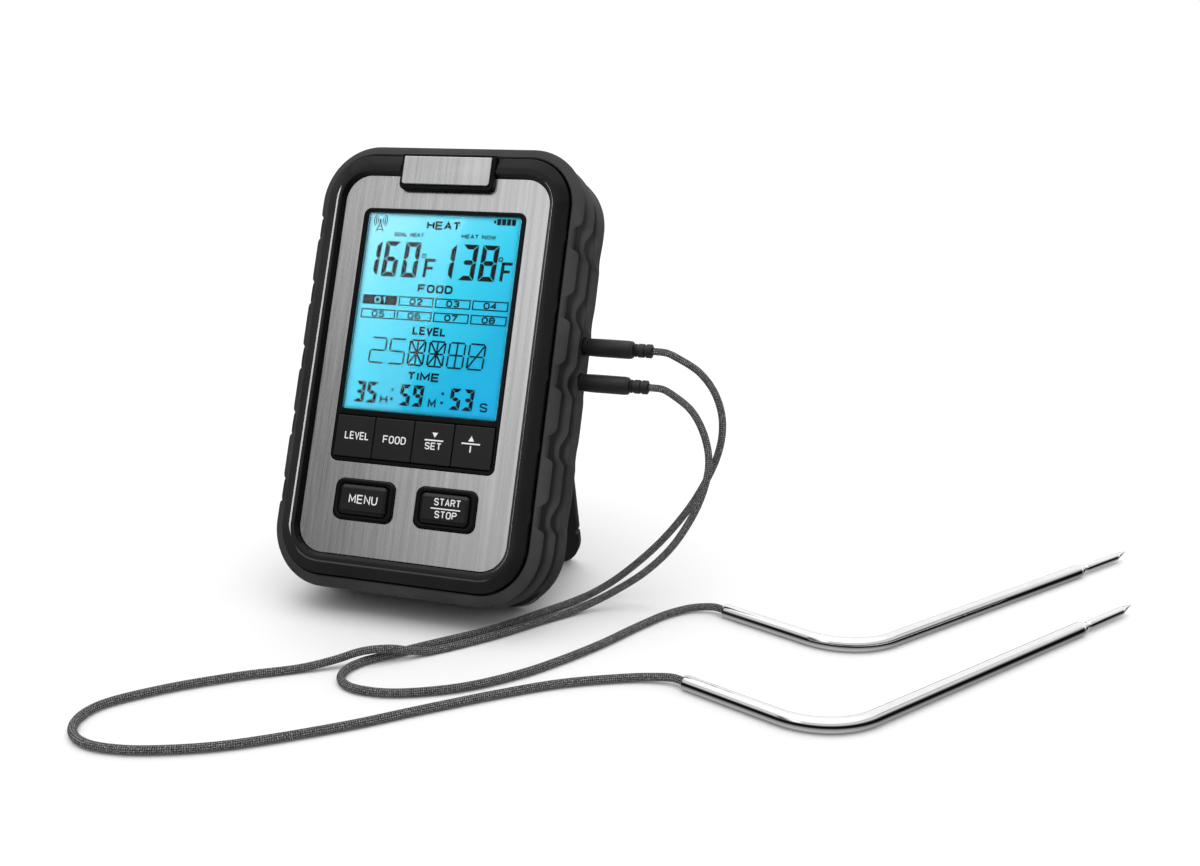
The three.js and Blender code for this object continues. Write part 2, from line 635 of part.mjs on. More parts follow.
const unit = new THREE.Group();
unit.rotation.x = Math.PI / 2 - LEAN;
for (const make of [
  bezel, facePlate, windowFrame, display, badge, stripKeys, keypadMat, circuitBoard, buzzer,
  antenna, jackSockets, batteries, rearShell, gripSleeve, screws, batteryDoor, stand, standPin,
]) {
  make(unit);
}
framedKey('mode', -1, unit);
framedKey('start', 1, unit);
group.add(unit);

const unitBox = new THREE.Box3().setFromObject(unit, true);
unit.position.y = -(unitBox.min.y + unitBox.max.y) / 2;
unit.position.z = FLOOR_DROP;

unit.updateMatrixWorld();

plug('upper', SOCKETS[0], unit);
plug('lower', SOCKETS[1], unit);
lead('upper', SOCKETS[0], [130, -19.6], -22.2, UPPER_ROUTE, 34, group);
lead('lower', SOCKETS[1], [129.2, -65.1], -21.2, LOWER_ROUTE, 46, group);

export default group;
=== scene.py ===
"""A two-probe meat thermometer on its stand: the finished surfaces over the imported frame.

Blender objects are in metres. Shapes of the display unit are drawn face-on in millimetres, in the
unit's own frame (x across, y up the face, z out of it from the steel plate's front), and UNIT
places them. Shapes on the table are drawn in metres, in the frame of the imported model.
"""

import math

import bmesh
import bpy
from mathutils import Matrix, Vector
from mathutils.geometry import tessellate_polygon


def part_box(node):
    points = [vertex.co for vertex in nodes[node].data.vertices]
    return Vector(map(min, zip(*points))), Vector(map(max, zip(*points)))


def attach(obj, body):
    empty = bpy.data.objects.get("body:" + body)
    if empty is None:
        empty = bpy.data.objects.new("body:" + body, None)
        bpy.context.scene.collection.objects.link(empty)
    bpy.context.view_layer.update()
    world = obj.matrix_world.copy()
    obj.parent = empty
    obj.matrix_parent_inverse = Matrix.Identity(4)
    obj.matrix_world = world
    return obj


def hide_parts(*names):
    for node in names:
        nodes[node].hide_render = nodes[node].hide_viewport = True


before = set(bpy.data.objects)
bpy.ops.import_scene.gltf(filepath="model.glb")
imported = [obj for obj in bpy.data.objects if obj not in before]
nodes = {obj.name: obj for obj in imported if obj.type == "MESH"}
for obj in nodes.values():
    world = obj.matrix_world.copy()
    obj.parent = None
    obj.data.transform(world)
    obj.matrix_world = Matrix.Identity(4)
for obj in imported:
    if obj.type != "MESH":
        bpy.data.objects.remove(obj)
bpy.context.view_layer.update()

# ---------------------------------------------------------------- driving dimensions, millimetres

MM = 0.001
GAP = 0.3
LEAN = math.radians(23.4)

PLATE_HALF = 33.0
PLATE_HEIGHT = 115.0
PLATE_RADIUS = 8.0
PLATE_THICKNESS = 0.6
SIDE = 9.6  # how far the case reaches past the plate at the sides
ENDS = 10.2  # and above and below it
BACK = -25.8
BAND_FRONT = -18.5  # front of the rear shell's wide band
BEZEL_BACK = -5.5

WINDOW = (-26.3, 26.3, 27.4, 104.8)  # left, right, bottom, top
SCREEN = (-24.9, 24.9, 43.1, 103.8)
STRIP = (-25.4, 25.4, 28.6, 41.4)
STRIP_KEYS = 4
FRAMED_KEY_OFFSET = 13.0
FRAMED_KEY_HEIGHT = 16.4
COLLAR_HALF = (9.6, 6.15)
CAP_HALF = (7.8, 4.6)
BADGE = (-15.2, 15.2, 110.4, 121.6)

CELL_LENGTH = 44.5
CELL_HEIGHTS = (90.0, 101.2)
CELL_DEPTH = -18.1

STAND_PIN = (52.0, -23.4)  # height up the face, depth
STAND_HALF = 37.0
STAND_THICKNESS = 2.9
STAND_OPEN = math.radians(39)
KNUCKLE = 2.3

SOCKETS = {"upper": 70.4, "lower": 59.5}
PLUG_DEPTH = -21.0
PLUG_START = 43.0
BARREL = 14.5
RELIEF = 5.7
RECESS = (-37.4, 37.4, -8.6, 55.3)  # the stand's, left, right, bottom, top
BAY = (-26.8, 26.8, 83.6, 107.6)  # the batteries'
DOOR_FOOT = 78.7
SCREWS = ((-34.5, 112), (34.5, 112), (-30, 2), (30, 2))
SCREW_SPLIT = 60  # the screws below this height stand in the stand's recess
RECESS_FLOOR = BACK + STAND_THICKNESS + GAP

NOTCHES = (17.0, 37.3, 57.6, 77.9, 98.2)  # finger notches along the grip
RIB_DROP = 1.15
RIB_STEP = 1.0

CORD_RADIUS = 0.0011  # from here on, metres
LYING = 0.0013  # height of a cord's middle on the table
PROBE_RADIUS = 0.002
PROBE_SHORT = 0.043  # along the short arm to the sharp corner of the elbow
PROBE_LONG = 0.1012
PROBE_BEND = 0.02
PROBE_TURN = math.radians(74)
ELBOWS = {"upper": (0.130, -0.0196, -22.2), "lower": (0.1292, -0.0651, -21.2)}  # x, y, heading

CAMERA_PLACE = (0.15217, -0.32513, 0.15417)
CAMERA_DOWN = math.radians(16.651)
CAMERA_TURN = math.radians(17.362)
CAMERA_LENS = 36

plate_low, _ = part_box("face_plate")
UNIT = (
    Matrix.Translation((0, plate_low.y, plate_low.z + PLATE_THICKNESS * MM * math.sin(LEAN)))
    @ Matrix.Rotation(math.pi / 2 - LEAN, 4, "X")
)
STAND = (
    UNIT
    @ Matrix.Translation((0, STAND_PIN[0] * MM, STAND_PIN[1] * MM))
    @ Matrix.Rotation(STAND_OPEN, 4, "X")
)
IN_PLACE = Matrix.Identity(4)

scene = bpy.context.scene


# ---------------------------------------------------------------- camera, floor and light

def add_camera():
    data = bpy.data.cameras.new("camera")
    data.lens = CAMERA_LENS
    data.sensor_width = 36
    camera = bpy.data.objects.new("camera", data)
    camera.location = CAMERA_PLACE
    camera.rotation_euler = (math.pi / 2 - CAMERA_DOWN, 0, CAMERA_TURN)
    scene.collection.objects.link(camera)
    scene.camera = camera


def add_area(name, place, aim, width, height, radiance, receivers=()):
    """A soft card of light. With receivers, it lights only those pieces."""
    data = bpy.data.lights.new(name, "AREA")
    data.shape = "RECTANGLE"
    data.size = width
    data.size_y = height
    data.energy = radiance * math.pi * width * height
    light = bpy.data.objects.new(name, data)
    light.location = place
    light.rotation_euler = (Vector(aim) - Vector(place)).to_track_quat("-Z", "Y").to_euler()
    scene.collection.objects.link(light)
    if receivers:
        group = bpy.data.collections.new(name)
        for piece in receivers:
            group.objects.link(piece)
        light.light_linking.receiver_collection = group
    return light


def add_glare(lens):
    """A white card whose mirror image covers the left part of the lens, up to a slanting edge."""
    distance, width, radiance = 0.6, 0.3, 5.5
    eye = scene.camera.location
    normal = UNIT.to_3x3() @ Vector((0, 0, 1))

    def mirrored(x, y):
        spot = UNIT @ Vector((x * MM, y * MM, -0.1 * MM))
        ray = (spot - eye).normalized()
        return spot + distance * (ray - 2 * ray.dot(normal) * normal)

    top, bottom, left = mirrored(8.1, 104.2), mirrored(-5.8, 43.9), mirrored(-24, 74)
    up = (top - bottom).normalized()
    middle = (top + bottom) / 2
    across = left - middle
    across = (across - up * across.dot(up)).normalized()
    screen_middle = UNIT @ Vector((0, 74 * MM, 0))
    back = across.cross(up)
    if back.dot(middle - screen_middle) < 0:
        back = -back
    height = (top - bottom).length + 0.3
    card = add_area("lens_glare", middle, screen_middle, width, height, radiance, [lens])
    turn = Matrix((up.cross(back), up, back)).transposed().to_4x4()
    card.matrix_world = Matrix.Translation(middle + across * width / 2) @ turn


class Nodes:
    """Short calls for building a node tree."""

    def __init__(self, tree):
        self.tree = tree

    def node(self, kind, **settings):
        node = self.tree.nodes.new(f"ShaderNode{kind}")
        for key, value in settings.items():
            setattr(node, key, value)
        return node

    def put(self, socket, value):
        """Gives a socket a link, a colour or a number."""
        if isinstance(value, bpy.types.NodeSocket):
            self.tree.links.new(value, socket)
        else:
            socket.default_value = (*value, 1) if isinstance(value, tuple) else value

    def ramp(self, source, stops):
        """Maps a grey value through stops of (position, colour or level)."""
        ramp = self.node("ValToRGB")
        elements = ramp.color_ramp.elements
        while len(elements) < len(stops):
            elements.new(0.5)
        for element, (position, colour) in zip(elements, stops):
            element.position = position
            level = colour if isinstance(colour, tuple) else (colour,) * 3
            element.color = (*level, 1)
        self.put(ramp.inputs[0], source)
        return ramp.outputs["Color"]

    def math(self, operation, *values):
        node = self.node("Math", operation=operation)
        for socket, value in zip(node.inputs, values):
            self.put(socket, value)
        return node.outputs[0]

    def mix(self, factor, first, second, blend="MIX"):
        node = self.node("Mix", data_type="RGBA", blend_type=blend)
        for index, value in ((0, factor), (6, first), (7, second)):
            self.put(node.inputs[index], value)
        return node.outputs[2]


def add_world():
    """A studio in which dark cards stand low in front, and white ones overhead and behind.

    The lower half is what polished metal shows from under it, because the floor is not mirrored.
    The backdrop itself is plain white.
    """
    world = bpy.data.worlds.new("studio")
    world.use_nodes = True
    sky = Nodes(world.node_tree)
    direction = sky.node("TexCoord").outputs["Generated"]

    def towards(x, y, z, low, high, shape="SMOOTHSTEP"):
        """0 to 1 as a direction's closeness to (x, y, z) goes from low to high."""
        dot = sky.node("VectorMath", operation="DOT_PRODUCT")
        dot.inputs[1].default_value = Vector((x, y, z)).normalized()
        sky.put(dot.inputs[0], direction)
        scale = sky.node("MapRange", interpolation_type=shape)
        scale.inputs["From Min"].default_value = low
        scale.inputs["From Max"].default_value = high
        sky.put(scale.inputs["Value"], dot.outputs["Value"])
        return scale.outputs["Result"]

    height = towards(0, 0, 1, -1, 1, "LINEAR")
    front = sky.ramp(height, [
        (0.0, 0.5), (0.18, 0.28), (0.28, 0.05), (0.35, 0.004), (0.55, 0.006), (0.6, 0.12),
        (0.72, 0.72), (0.78, 0.78), (0.805, 0.4), (0.825, 0.4), (0.85, 1.0), (0.92, 1.1), (0.95, 2.4),
    ])
    behind = sky.ramp(height, [
        (0.0, 0.4), (0.4, 0.2), (0.46, 0.22), (0.47, 1.05), (0.9, 1.05), (0.95, 2.4),
    ])
    both = sky.mix(towards(0, 1, 0, 0.3, 0.6), front, behind)
    card = sky.mix(towards(0.9, 0, 0.3, -0.4, -0.1), (0.1,) * 3, (1.3,) * 3)
    lit = sky.mix(towards(-0.42, -0.77, 0.48, 0.95, 0.98), both, card)
    seen = sky.node("LightPath").outputs["Is Camera Ray"]
    background = world.node_tree.nodes["Background"]
    sky.put(background.inputs["Color"], sky.mix(seen, lit, (1.05,) * 3))
    background.inputs["Strength"].default_value = 1.0
    scene.world = world


def add_floor(material):
    mesh = bpy.data.meshes.new("floor")
    reach = 40
    corners = [(-reach, -reach, 0), (reach, -reach, 0), (reach, reach, 0), (-reach, reach, 0)]
    mesh.from_pydata(corners, [], [(0, 1, 2, 3)])
    mesh.materials.append(material)
    floor = bpy.data.objects.new("floor", mesh)
    floor.visible_glossy = False
    scene.collection.objects.link(floor)


# ---------------------------------------------------------------- materials

class Look(Nodes):
    """A Principled material with short calls for its textures."""

    def __init__(self, name, colour, roughness, metallic=0.0):
        self.material = bpy.data.materials.new(name)
        self.material.use_nodes = True
        super().__init__(self.material.node_tree)
        self.shader = self.tree.nodes["Principled BSDF"]
        self.set("Base Color", colour)
        self.set("Roughness", roughness)
        self.set("Metallic", metallic)

    def set(self, socket, value):
        self.put(self.shader.inputs[socket], value)

    def place(self, scale=(1, 1, 1), source="Object"):
        """Texture coordinates, stretched by scale. Object coordinates are in metres."""
        mapping = self.node("Mapping")
        mapping.inputs["Scale"].default_value = scale
        self.put(mapping.inputs[0], self.node("TexCoord").outputs[source])
        return mapping.outputs[0]

    def split(self, place):
        """The x and y of texture coordinates."""
        split = self.node("SeparateXYZ")
        self.put(split.inputs[0], place)
        return split.outputs["X"], split.outputs["Y"]

    def noise(self, scale, detail=4, place=None):
        noise = self.node("TexNoise")
        noise.inputs["Scale"].default_value = scale
        noise.inputs["Detail"].default_value = detail
        self.put(noise.inputs["Vector"], place or self.place())
        return noise.outputs["Fac"]

    def colour(self, source):
        self.set("Base Color", source)

    def roughness(self, source):
        self.set("Roughness", source)

    def bump(self, height, distance, strength=1.0):
        """Adds relief. distance is the height of the relief in metres."""
        bump = self.node("Bump")
        bump.inputs["Strength"].default_value = strength
        bump.inputs["Distance"].default_value = distance
        self.put(bump.inputs["Height"], height)
        before = self.shader.inputs["Normal"].links
        if before:
            self.put(bump.inputs["Normal"], before[0].from_socket)
        self.set("Normal", bump.outputs[0])


def shaded(colour, share):
    return tuple(channel * share for channel in colour)


def moulded(name, colour, roughness, grain, depth):
    """Moulded plastic or rubber: a fine even grain, and roughness that wanders a little."""
    look = Look(name, colour, roughness)
    look.set("Specular IOR Level", 0.3)
    fine = look.noise(grain, 3)
    broad = look.noise(60, 3)
    look.colour(look.ramp(broad, [(0.3, shaded(colour, 0.8)), (0.7, shaded(colour, 1.25))]))
    look.roughness(look.ramp(broad, [(0.3, roughness - 0.04), (0.7, roughness + 0.04)]))
    look.bump(fine, depth)
    return look


def ribbed_with_valley_shade(name, colour, roughness, grain, depth):
    """Moulded rubber, duller, and darker where the mesh marks the floor between the ribs: painted shade
    in the valleys.
    """
    look = moulded(name, colour, roughness, grain, depth)
    look.set("Specular IOR Level", 0.12)
    before = look.shader.inputs["Base Color"].links[0].from_socket
    valley_shade = look.node("VertexColor", layer_name="valley_shade").outputs["Color"]
    # painted shade: the floor between the ribs is darkened to 15 % of the rubber's colour
    look.colour(look.mix(valley_shade, before, shaded(colour, 0.15)))
    return look.material


def gloss_black():
    look = Look("gloss_black", (0.008, 0.008, 0.009), 0.17)
    look.set("Specular IOR Level", 0.07)
    smear = look.noise(45, 5)
    look.roughness(look.ramp(smear, [(0.35, 0.07), (0.7, 0.1)]))
    look.colour(look.ramp(smear, [(0.3, (0.005, 0.005, 0.0053)), (0.7, (0.007, 0.007, 0.0073))]))
    look.bump(look.noise(900, 2), 0.000004)
    return look.material


def brushed_steel(name, level):
    """Sheet steel with long fine scratches up the face, and soft lighter and darker streaks."""
    look = Look(name, (level, level, level), 0.34, 1.0)
    stretch = (1, 0.012, 1)
    fine = look.noise(5200, 3, look.place(stretch))
    streak = look.noise(700, 3, look.place(stretch))
    tint = look.mix(0.5, fine, streak)
    dark, light = level * 0.72, min(level * 1.2, 0.95)
    look.colour(look.ramp(tint, [(0.32, (dark, dark, dark)), (0.68, (light, light, light * 1.01))]))
    look.roughness(look.ramp(fine, [(0.3, 0.22), (0.7, 0.32)]))
    look.bump(fine, 0.000006)
    look.bump(streak, 0.00001, 0.5)
    look.set("Anisotropic", 0.6)
    return look.material


def polished_steel():
    look = Look("probe_steel", (0.86, 0.86, 0.87), 0.035, 1.0)
    polish = look.noise(260, 4)
    look.roughness(look.ramp(polish, [(0.35, 0.02), (0.75, 0.055)]))
    look.colour(look.ramp(polish, [(0.3, (0.83, 0.83, 0.84)), (0.7, (0.88, 0.88, 0.885))]))
    look.bump(look.noise(2500, 2), 0.0000006)
    return look.material


def plated(name, colour, roughness):
    """Plated wire and pins: bright metal with a faint drawn grain and dull patches."""
    look = Look(name, colour, roughness, 1.0)
    patch = look.noise(500, 4)
    look.colour(look.ramp(patch, [(0.35, shaded(colour, 0.82)), (0.65, colour)]))
    look.roughness(look.ramp(patch, [(0.35, roughness + 0.1), (0.7, roughness)]))
    look.bump(look.noise(7000, 2), 0.000003)
    return look.material


def braided(name, around, along):
    """A woven sleeve: crossing strands in the tube's own UVs, dark with lighter flecks."""
    look = Look(name, (0.05, 0.05, 0.052), 0.75)
    across, down = look.split(look.place((around, along, 1), "UV"))
    left = look.math("SINE", look.math("MULTIPLY", look.math("ADD", across, down), 2 * math.pi))
    right = look.math("SINE", look.math("MULTIPLY", look.math("SUBTRACT", across, down), 2 * math.pi))
    weave = look.math("MULTIPLY", left, right)
    height = look.math("MULTIPLY_ADD", weave, 0.5, 0.5)
    flecks = look.noise(4200, 2)
    strands = look.ramp(height, [(0.3, (0.008, 0.008, 0.009)), (0.75, (0.1, 0.1, 0.103))])
    light = look.ramp(flecks, [(0.48, 0.0), (0.62, 1.0)])
    look.colour(look.mix(look.math("MULTIPLY", light, height), strands, (0.5, 0.5, 0.505)))
    look.bump(height, 0.00016)
    look.set("Specular IOR Level", 0.2)
    return look.material


def lit_screen():
    """The lit liquid-crystal cell: pale cyan at the upper left, deeper blue at the lower right, dimmed
    towards its edges by painted shade.
    """
    look = Look("lit_display", (0.005, 0.18, 0.24), 0.25)
    x, y = look.split(look.place((1 / MM, 1 / MM, 1)))
    left, right, bottom, top = SCREEN
    slope = look.math("SUBTRACT", look.math("MULTIPLY", y, 0.9), x)
    low, high = bottom * 0.9 - right, top * 0.9 - left
    level = look.math("DIVIDE", look.math("SUBTRACT", slope, low), high - low)
    glow = look.ramp(level, [
        (0.0, (0.0, 0.24, 0.56)), (0.25, (0.0, 0.29, 0.52)), (0.5, (0.03, 0.46, 0.64)),
        (0.75, (0.14, 0.6, 0.75)), (1.0, (0.36, 0.72, 0.8)),
    ])
    grain = look.noise(6500, 2)
    grainy = look.mix(0.5, glow, look.ramp(grain, [(0.3, 0.34), (0.7, 0.66)]), "OVERLAY")
    # towards the screen's edges the glow dims to 0.12: painted shade along the window's frame
    edge_x = look.math("SUBTRACT", right - 0.2, look.math("ABSOLUTE", x))
    middle = (bottom + top) / 2
    reach = (top - bottom) / 2 - 0.2
    edge_y = look.math("SUBTRACT", reach, look.math("ABSOLUTE", look.math("SUBTRACT", y, middle)))
    edge = look.math("DIVIDE", look.math("MINIMUM", edge_x, edge_y), 1.7)
    shade = look.ramp(edge, [(0.0, 0.12), (0.3, 0.5), (0.7, 0.9), (1.0, 1.0)])
    look.set("Emission Color", look.mix(1.0, grainy, shade, "MULTIPLY"))
    look.set("Emission Strength", 1.0)
    look.set("Specular IOR Level", 0.05)
    return look.material


def clear_lens():
    """Clear acrylic with a hard, flat polish and the faintest uneven tint."""
    look = Look("clear_lens", (1, 1, 1), 0.035)
    look.set("Transmission Weight", 1.0)
    look.set("IOR", 1.15)
    look.colour(look.ramp(look.noise(80, 3), [(0.35, (0.97, 0.985, 0.99)), (0.7, (1, 1, 1))]))
    return look.material


def print_ink(name, colour, glow=0.0):
    look = Look(name, colour, 0.55)
    look.set("Specular IOR Level", 0.05)
    worn = look.noise(2600, 3)
    look.colour(look.ramp(worn, [(0.3, shaded(colour, 0.82)), (0.55, colour)]))
    # a glow is painted light: the ink emits as if lit
    if glow:
        look.set("Emission Color", colour)
        look.set("Emission Strength", glow)
    return look.material


def solder_mask():
    look = Look("board_green", (0.02, 0.14, 0.05), 0.35)
    traces = look.node("TexBrick")
    for socket, value in (
        ("Scale", 260), ("Mortar Size", 0.012), ("Vector", look.place()),
        ("Color1", (0.018, 0.13, 0.045)), ("Color2", (0.025, 0.17, 0.06)),
        ("Mortar", (0.05, 0.3, 0.11)),
    ):
        look.put(traces.inputs[socket], value)
    look.colour(traces.outputs["Color"])
    look.bump(look.noise(900, 3), 0.00001)
    return look.material


def cell_wrap():
    """A battery's printed sleeve: dark, with a copper-coloured band round its plus end."""
    look = Look("cell_wrap", (0.03, 0.032, 0.035), 0.3)
    x, _ = look.split(look.place((1 / MM, 1 / MM, 1 / MM)))
    level = look.math("DIVIDE", look.math("ADD", x, CELL_LENGTH / 2), CELL_LENGTH)
    bands = look.ramp(level, [
        (0.0, (0.03, 0.032, 0.036)), (0.7, (0.03, 0.032, 0.036)),
        (0.705, (0.62, 0.3, 0.1)), (0.965, (0.66, 0.33, 0.12)), (0.97, (0.6, 0.6, 0.6)),
    ])
    look.colour(look.mix(look.noise(300, 3), bands, (0.05, 0.05, 0.05), "SOFT_LIGHT"))
    look.bump(look.noise(1200, 2), 0.00001)
    return look.material


def studio_floor():
    look = Look("studio_floor", (0.9, 0.9, 0.9), 0.6)
    look.colour(look.ramp(look.noise(3, 2), [(0.3, 0.9), (0.7, 0.92)]))
    return look.material


GLOSS_BLACK = gloss_black()
KEY_BLACK = moulded("key_black", (0.009, 0.009, 0.01), 0.36, 6000, 0.00001).material
CASE_BLACK = ribbed_with_valley_shade("case_black", (0.03, 0.03, 0.031), 0.5, 5200, 0.00003)
# the stand is the case's black plastic made darker: painted shade, for a leg that stands in shade
SHADED_STAND_BLACK = moulded("stand_black_painted_shade", (0.004, 0.004, 0.005), 0.46, 5200, 0.00003).material
GRIP_RUBBER = ribbed_with_valley_shade("grip_rubber", (0.036, 0.036, 0.037), 0.6, 7000, 0.00002)
PLUG_BLACK = moulded("plug_black", (0.022, 0.022, 0.023), 0.42, 6000, 0.00002).material
SILICONE = moulded("silicone", (0.05, 0.05, 0.053), 0.7, 3000, 0.00003).material
DIFFUSER = moulded("diffuser", (0.8, 0.9, 0.93), 0.4, 2000, 0.00001).material
FACE_STEEL = brushed_steel("face_steel", 0.6)
PROBE_STEEL = polished_steel()
SPRING_STEEL = plated("spring_steel", (0.6, 0.61, 0.62), 0.28)
PIN_BRASS = plated("pin_brass", (0.78, 0.58, 0.26), 0.2)
CORD_BRAID = braided("cord_braid", 6, 900)
CLEAR_LENS = clear_lens()
LIT_SCREEN = lit_screen()
SCREEN_INK = print_ink("screen_ink", (0.004, 0.009, 0.012))
# the white print glows faintly: painted light
WHITE_INK = print_ink("white_ink", (0.85, 0.85, 0.85), 0.12)
BOARD_GREEN = solder_mask()
CELL_WRAP = cell_wrap()


# ---------------------------------------------------------------- outlines

def rounded(left, right, bottom, top, low_radius, high_radius, steps):
    """A closed loop of points round a box with round corners, anticlockwise from the lower right."""
    corners = [
        (right - low_radius, bottom + low_radius, low_radius, -90),
        (right - high_radius, top - high_radius, high_radius, 0),
        (left + high_radius, top - high_radius, high_radius, 90),
        (left + low_radius, bottom + low_radius, low_radius, 180),
    ]
    loop = []
    for x, y, radius, start in corners:
        for step in range(steps + 1):
            angle = math.radians(start + 90 * step / steps)
            loop.append((x + radius * math.cos(angle), y + radius * math.sin(angle)))
    return loop


def box_loop(left, right, bottom, top, radius, high_radius=None, steps=8):
    """The box as a function: loop(inset) draws it that much smaller all round."""
    high_radius = radius if high_radius is None else high_radius

    def loop(inset=0.0):
        low, high = (max(r - inset, 0.05) for r in (radius, high_radius))
        return rounded(left + inset, right - inset, bottom + inset, top - inset, low, high, steps)

    return loop


def case_loop(reach_side, reach_ends):
    """The plate's outline grown by the two reaches, as a function of inset."""
    return box_loop(
        -PLATE_HALF - reach_side, PLATE_HALF + reach_side,
        -reach_ends, PLATE_HEIGHT + reach_ends, PLATE_RADIUS + reach_side, steps=20,
    )


def case_path():
    """Spots round the plate's outline: x, y, facing in degrees, and distance along a side grip."""
    step, corner_steps = 0.55, 28
    half, high, radius = PLATE_HALF, PLATE_HEIGHT, PLATE_RADIUS
    sides = [
        ((half, radius), (half, high - radius), 0),
        ((half - radius, high), (radius - half, high), 90),
        ((-half, high - radius), (-half, radius), 180),
        ((radius - half, 0), (half - radius, 0), 270),
    ]
    corner_reach = radius + SIDE
    spots = []
    for (x0, y0), (x1, y1), facing in sides:
        count = round(math.hypot(x1 - x0, y1 - y0) / step)
        for index in range(count):
            t = index / count
            y = y0 + (y1 - y0) * t
            grip = y if facing in (0, 180) else -100
            spots.append((x0 + (x1 - x0) * t, y, facing, grip))
        normal = math.radians(facing)
        cx, cy = x1 - radius * math.cos(normal), y1 - radius * math.sin(normal)
        for index in range(corner_steps):
            angle = math.radians(facing + 90 * index / corner_steps)
            swing = angle - normal if facing == 0 else math.pi / 2 - (angle - normal)
            grip = high - radius + corner_reach * swing if facing in (0, 90) else -100
            x = cx + radius * math.cos(angle)
            y = cy + radius * math.sin(angle)
            spots.append((x, y, math.degrees(angle), grip))
    return spots


def smooth(value):
    """0 below 0, 1 above 1, and an even S between them."""
    value = min(max(value, 0.0), 1.0)
    return value * value * (3 - 2 * value)


def notch_depth(grip, below=3.4, above=6.4, flat=1.2):
    """1 in a finger notch. It falls off quickly below the notch, and slowly above it."""
    depth = 0.0
    for notch in NOTCHES:
        over, under = grip - notch, notch - flat - grip
        depth = max(depth, smooth(1 - max(over / above, under / below, 0)))
    return depth


# ---------------------------------------------------------------- mesh builders

def add_mesh(name, points, faces, material, place=IN_PLACE, sharp=38, weighted=False, merge=0.0):
    """A smooth-shaded mesh piece from points in millimetres, with its faces turned outwards."""
    mesh = bpy.data.meshes.new(name)
    mesh.from_pydata([Vector(point) * MM for point in points], [], faces)
    turn_outwards(mesh, merge)
    return finish_mesh(name, mesh, material, place, sharp, weighted)


def turn_outwards(mesh, merge=0.0):
    solid = bmesh.new()
    solid.from_mesh(mesh)
    if merge:
        bmesh.ops.remove_doubles(solid, verts=solid.verts, dist=merge)
    bmesh.ops.recalc_face_normals(solid, faces=solid.faces)
    solid.to_mesh(mesh)
    solid.free()


def finish_mesh(name, mesh, material, place, sharp, weighted=False):
    mesh.materials.clear()
    mesh.materials.append(material)
    mesh.shade_smooth()
    mesh.set_sharp_from_angle(angle=math.radians(sharp))
    piece = bpy.data.objects.new(name, mesh)
    scene.collection.objects.link(piece)
    piece.matrix_world = place
    if weighted:
        even_faces(piece)
    return piece


def even_faces(piece):
    """Shades large flat faces flat, right up to their rounded edges."""
    modifier = piece.modifiers.new("even_faces", "WEIGHTED_NORMAL")
    modifier.keep_sharp = True


def cut_out(piece, tools, operation="DIFFERENCE"):
    """Cuts the tools from the piece, or joins them to it, and removes them."""
    for tool in tools:
        modifier = piece.modifiers.new("cut", "BOOLEAN")
        modifier.operation = operation
        modifier.object = tool
        modifier.solver = "EXACT"
    bpy.context.view_layer.update()
    shape = bpy.data.meshes.new_from_object(
        piece.evaluated_get(bpy.context.evaluated_depsgraph_get())
    )
    piece.modifiers.clear()
    piece.data = shape
    joined = bmesh.new()
    joined.from_mesh(shape)
    bmesh.ops.remove_doubles(joined, verts=joined.verts, dist=2e-7)
    bmesh.ops.dissolve_degenerate(joined, edges=joined.edges, dist=2e-7)
    joined.to_mesh(shape)
    joined.free()
    for tool in tools:
        bpy.data.objects.remove(tool)
    shape.shade_smooth()
    shape.set_sharp_from_angle(angle=math.radians(38))


def edge_levels(back, front, edge, back_edge=0.0):
    """(inset, height) from back to front, with quarter-round edges."""
    steps = 4
    levels = []
    for step in range(steps, -1, -1) if back_edge else [0]:
        angle = math.pi / 2 * step / steps
        rise = back_edge * (1 - math.sin(angle))
        levels.append((back_edge * (1 - math.cos(angle)), back + rise))
    for step in range(steps + 1):
        angle = math.pi / 2 * step / steps
        levels.append((edge * (1 - math.cos(angle)), front - edge + edge * math.sin(angle)))
    return levels


def stack(outer, holes, levels):
    """Points and faces of a plate whose outline is inset by levels of (inset, height)."""
    def loops_at(inset):
        return [outer(inset)] + [hole(-inset) for hole in holes]

    counts = [len(loop) for loop in loops_at(0)]
    size = sum(counts)
    points = [
        (x, y, height)
        for inset, height in levels for loop in loops_at(inset) for x, y in loop
    ]
    faces = []
    for level in range(len(levels) - 1):
        start = level * size
        for count in counts:
            for i in range(count):
                j = (i + 1) % count
                faces.append((start + i, start + j, start + size + j, start + size + i))
            start += count
    for level in (0, len(levels) - 1):
        flat = [[Vector((x, y, 0)) for x, y in loop] for loop in loops_at(levels[level][0])]
        first = level * size
        faces += [tuple(first + i for i in corner) for corner in tessellate_polygon(flat)]
    return points, faces


def slab(name, outer, holes, levels, material, place=UNIT):
    points, faces = stack(outer, holes, levels)
    return add_mesh(name, points, faces, material, place, weighted=True)


def ring(name, section, material):
    """Sweeps a closed section round the case. section(grip) lists (outward, height, hollow).

    The third value is 1 on the floor between ribs and 0 elsewhere; the rubber's colour takes it as
    painted shade.
    """
    points, faces, valley_shades = [], [], []
    spots = case_path()
    for x, y, facing, grip in spots:
        cos, sin = math.cos(math.radians(facing)), math.sin(math.radians(facing))
        for outward, height, *valley_shade in section(grip):
            points.append((x + outward * cos, y + outward * sin * ENDS / SIDE, height))
            valley_shades.append(valley_shade[0] if valley_shade else 0.0)
    count = len(section(0))
    for i in range(len(spots)):
        j = (i + 1) % len(spots)
        for k in range(count):
            m = (k + 1) % count
            faces.append((i * count + k, j * count + k, j * count + m, i * count + m))
    piece = add_mesh(name, points, faces, material, UNIT, sharp=50)
    layer = piece.data.color_attributes.new("valley_shade", "FLOAT_COLOR", "POINT")
    for item, valley_shade in zip(layer.data, valley_shades):
        item.color = (valley_shade, valley_shade, valley_shade, 1)
    return piece


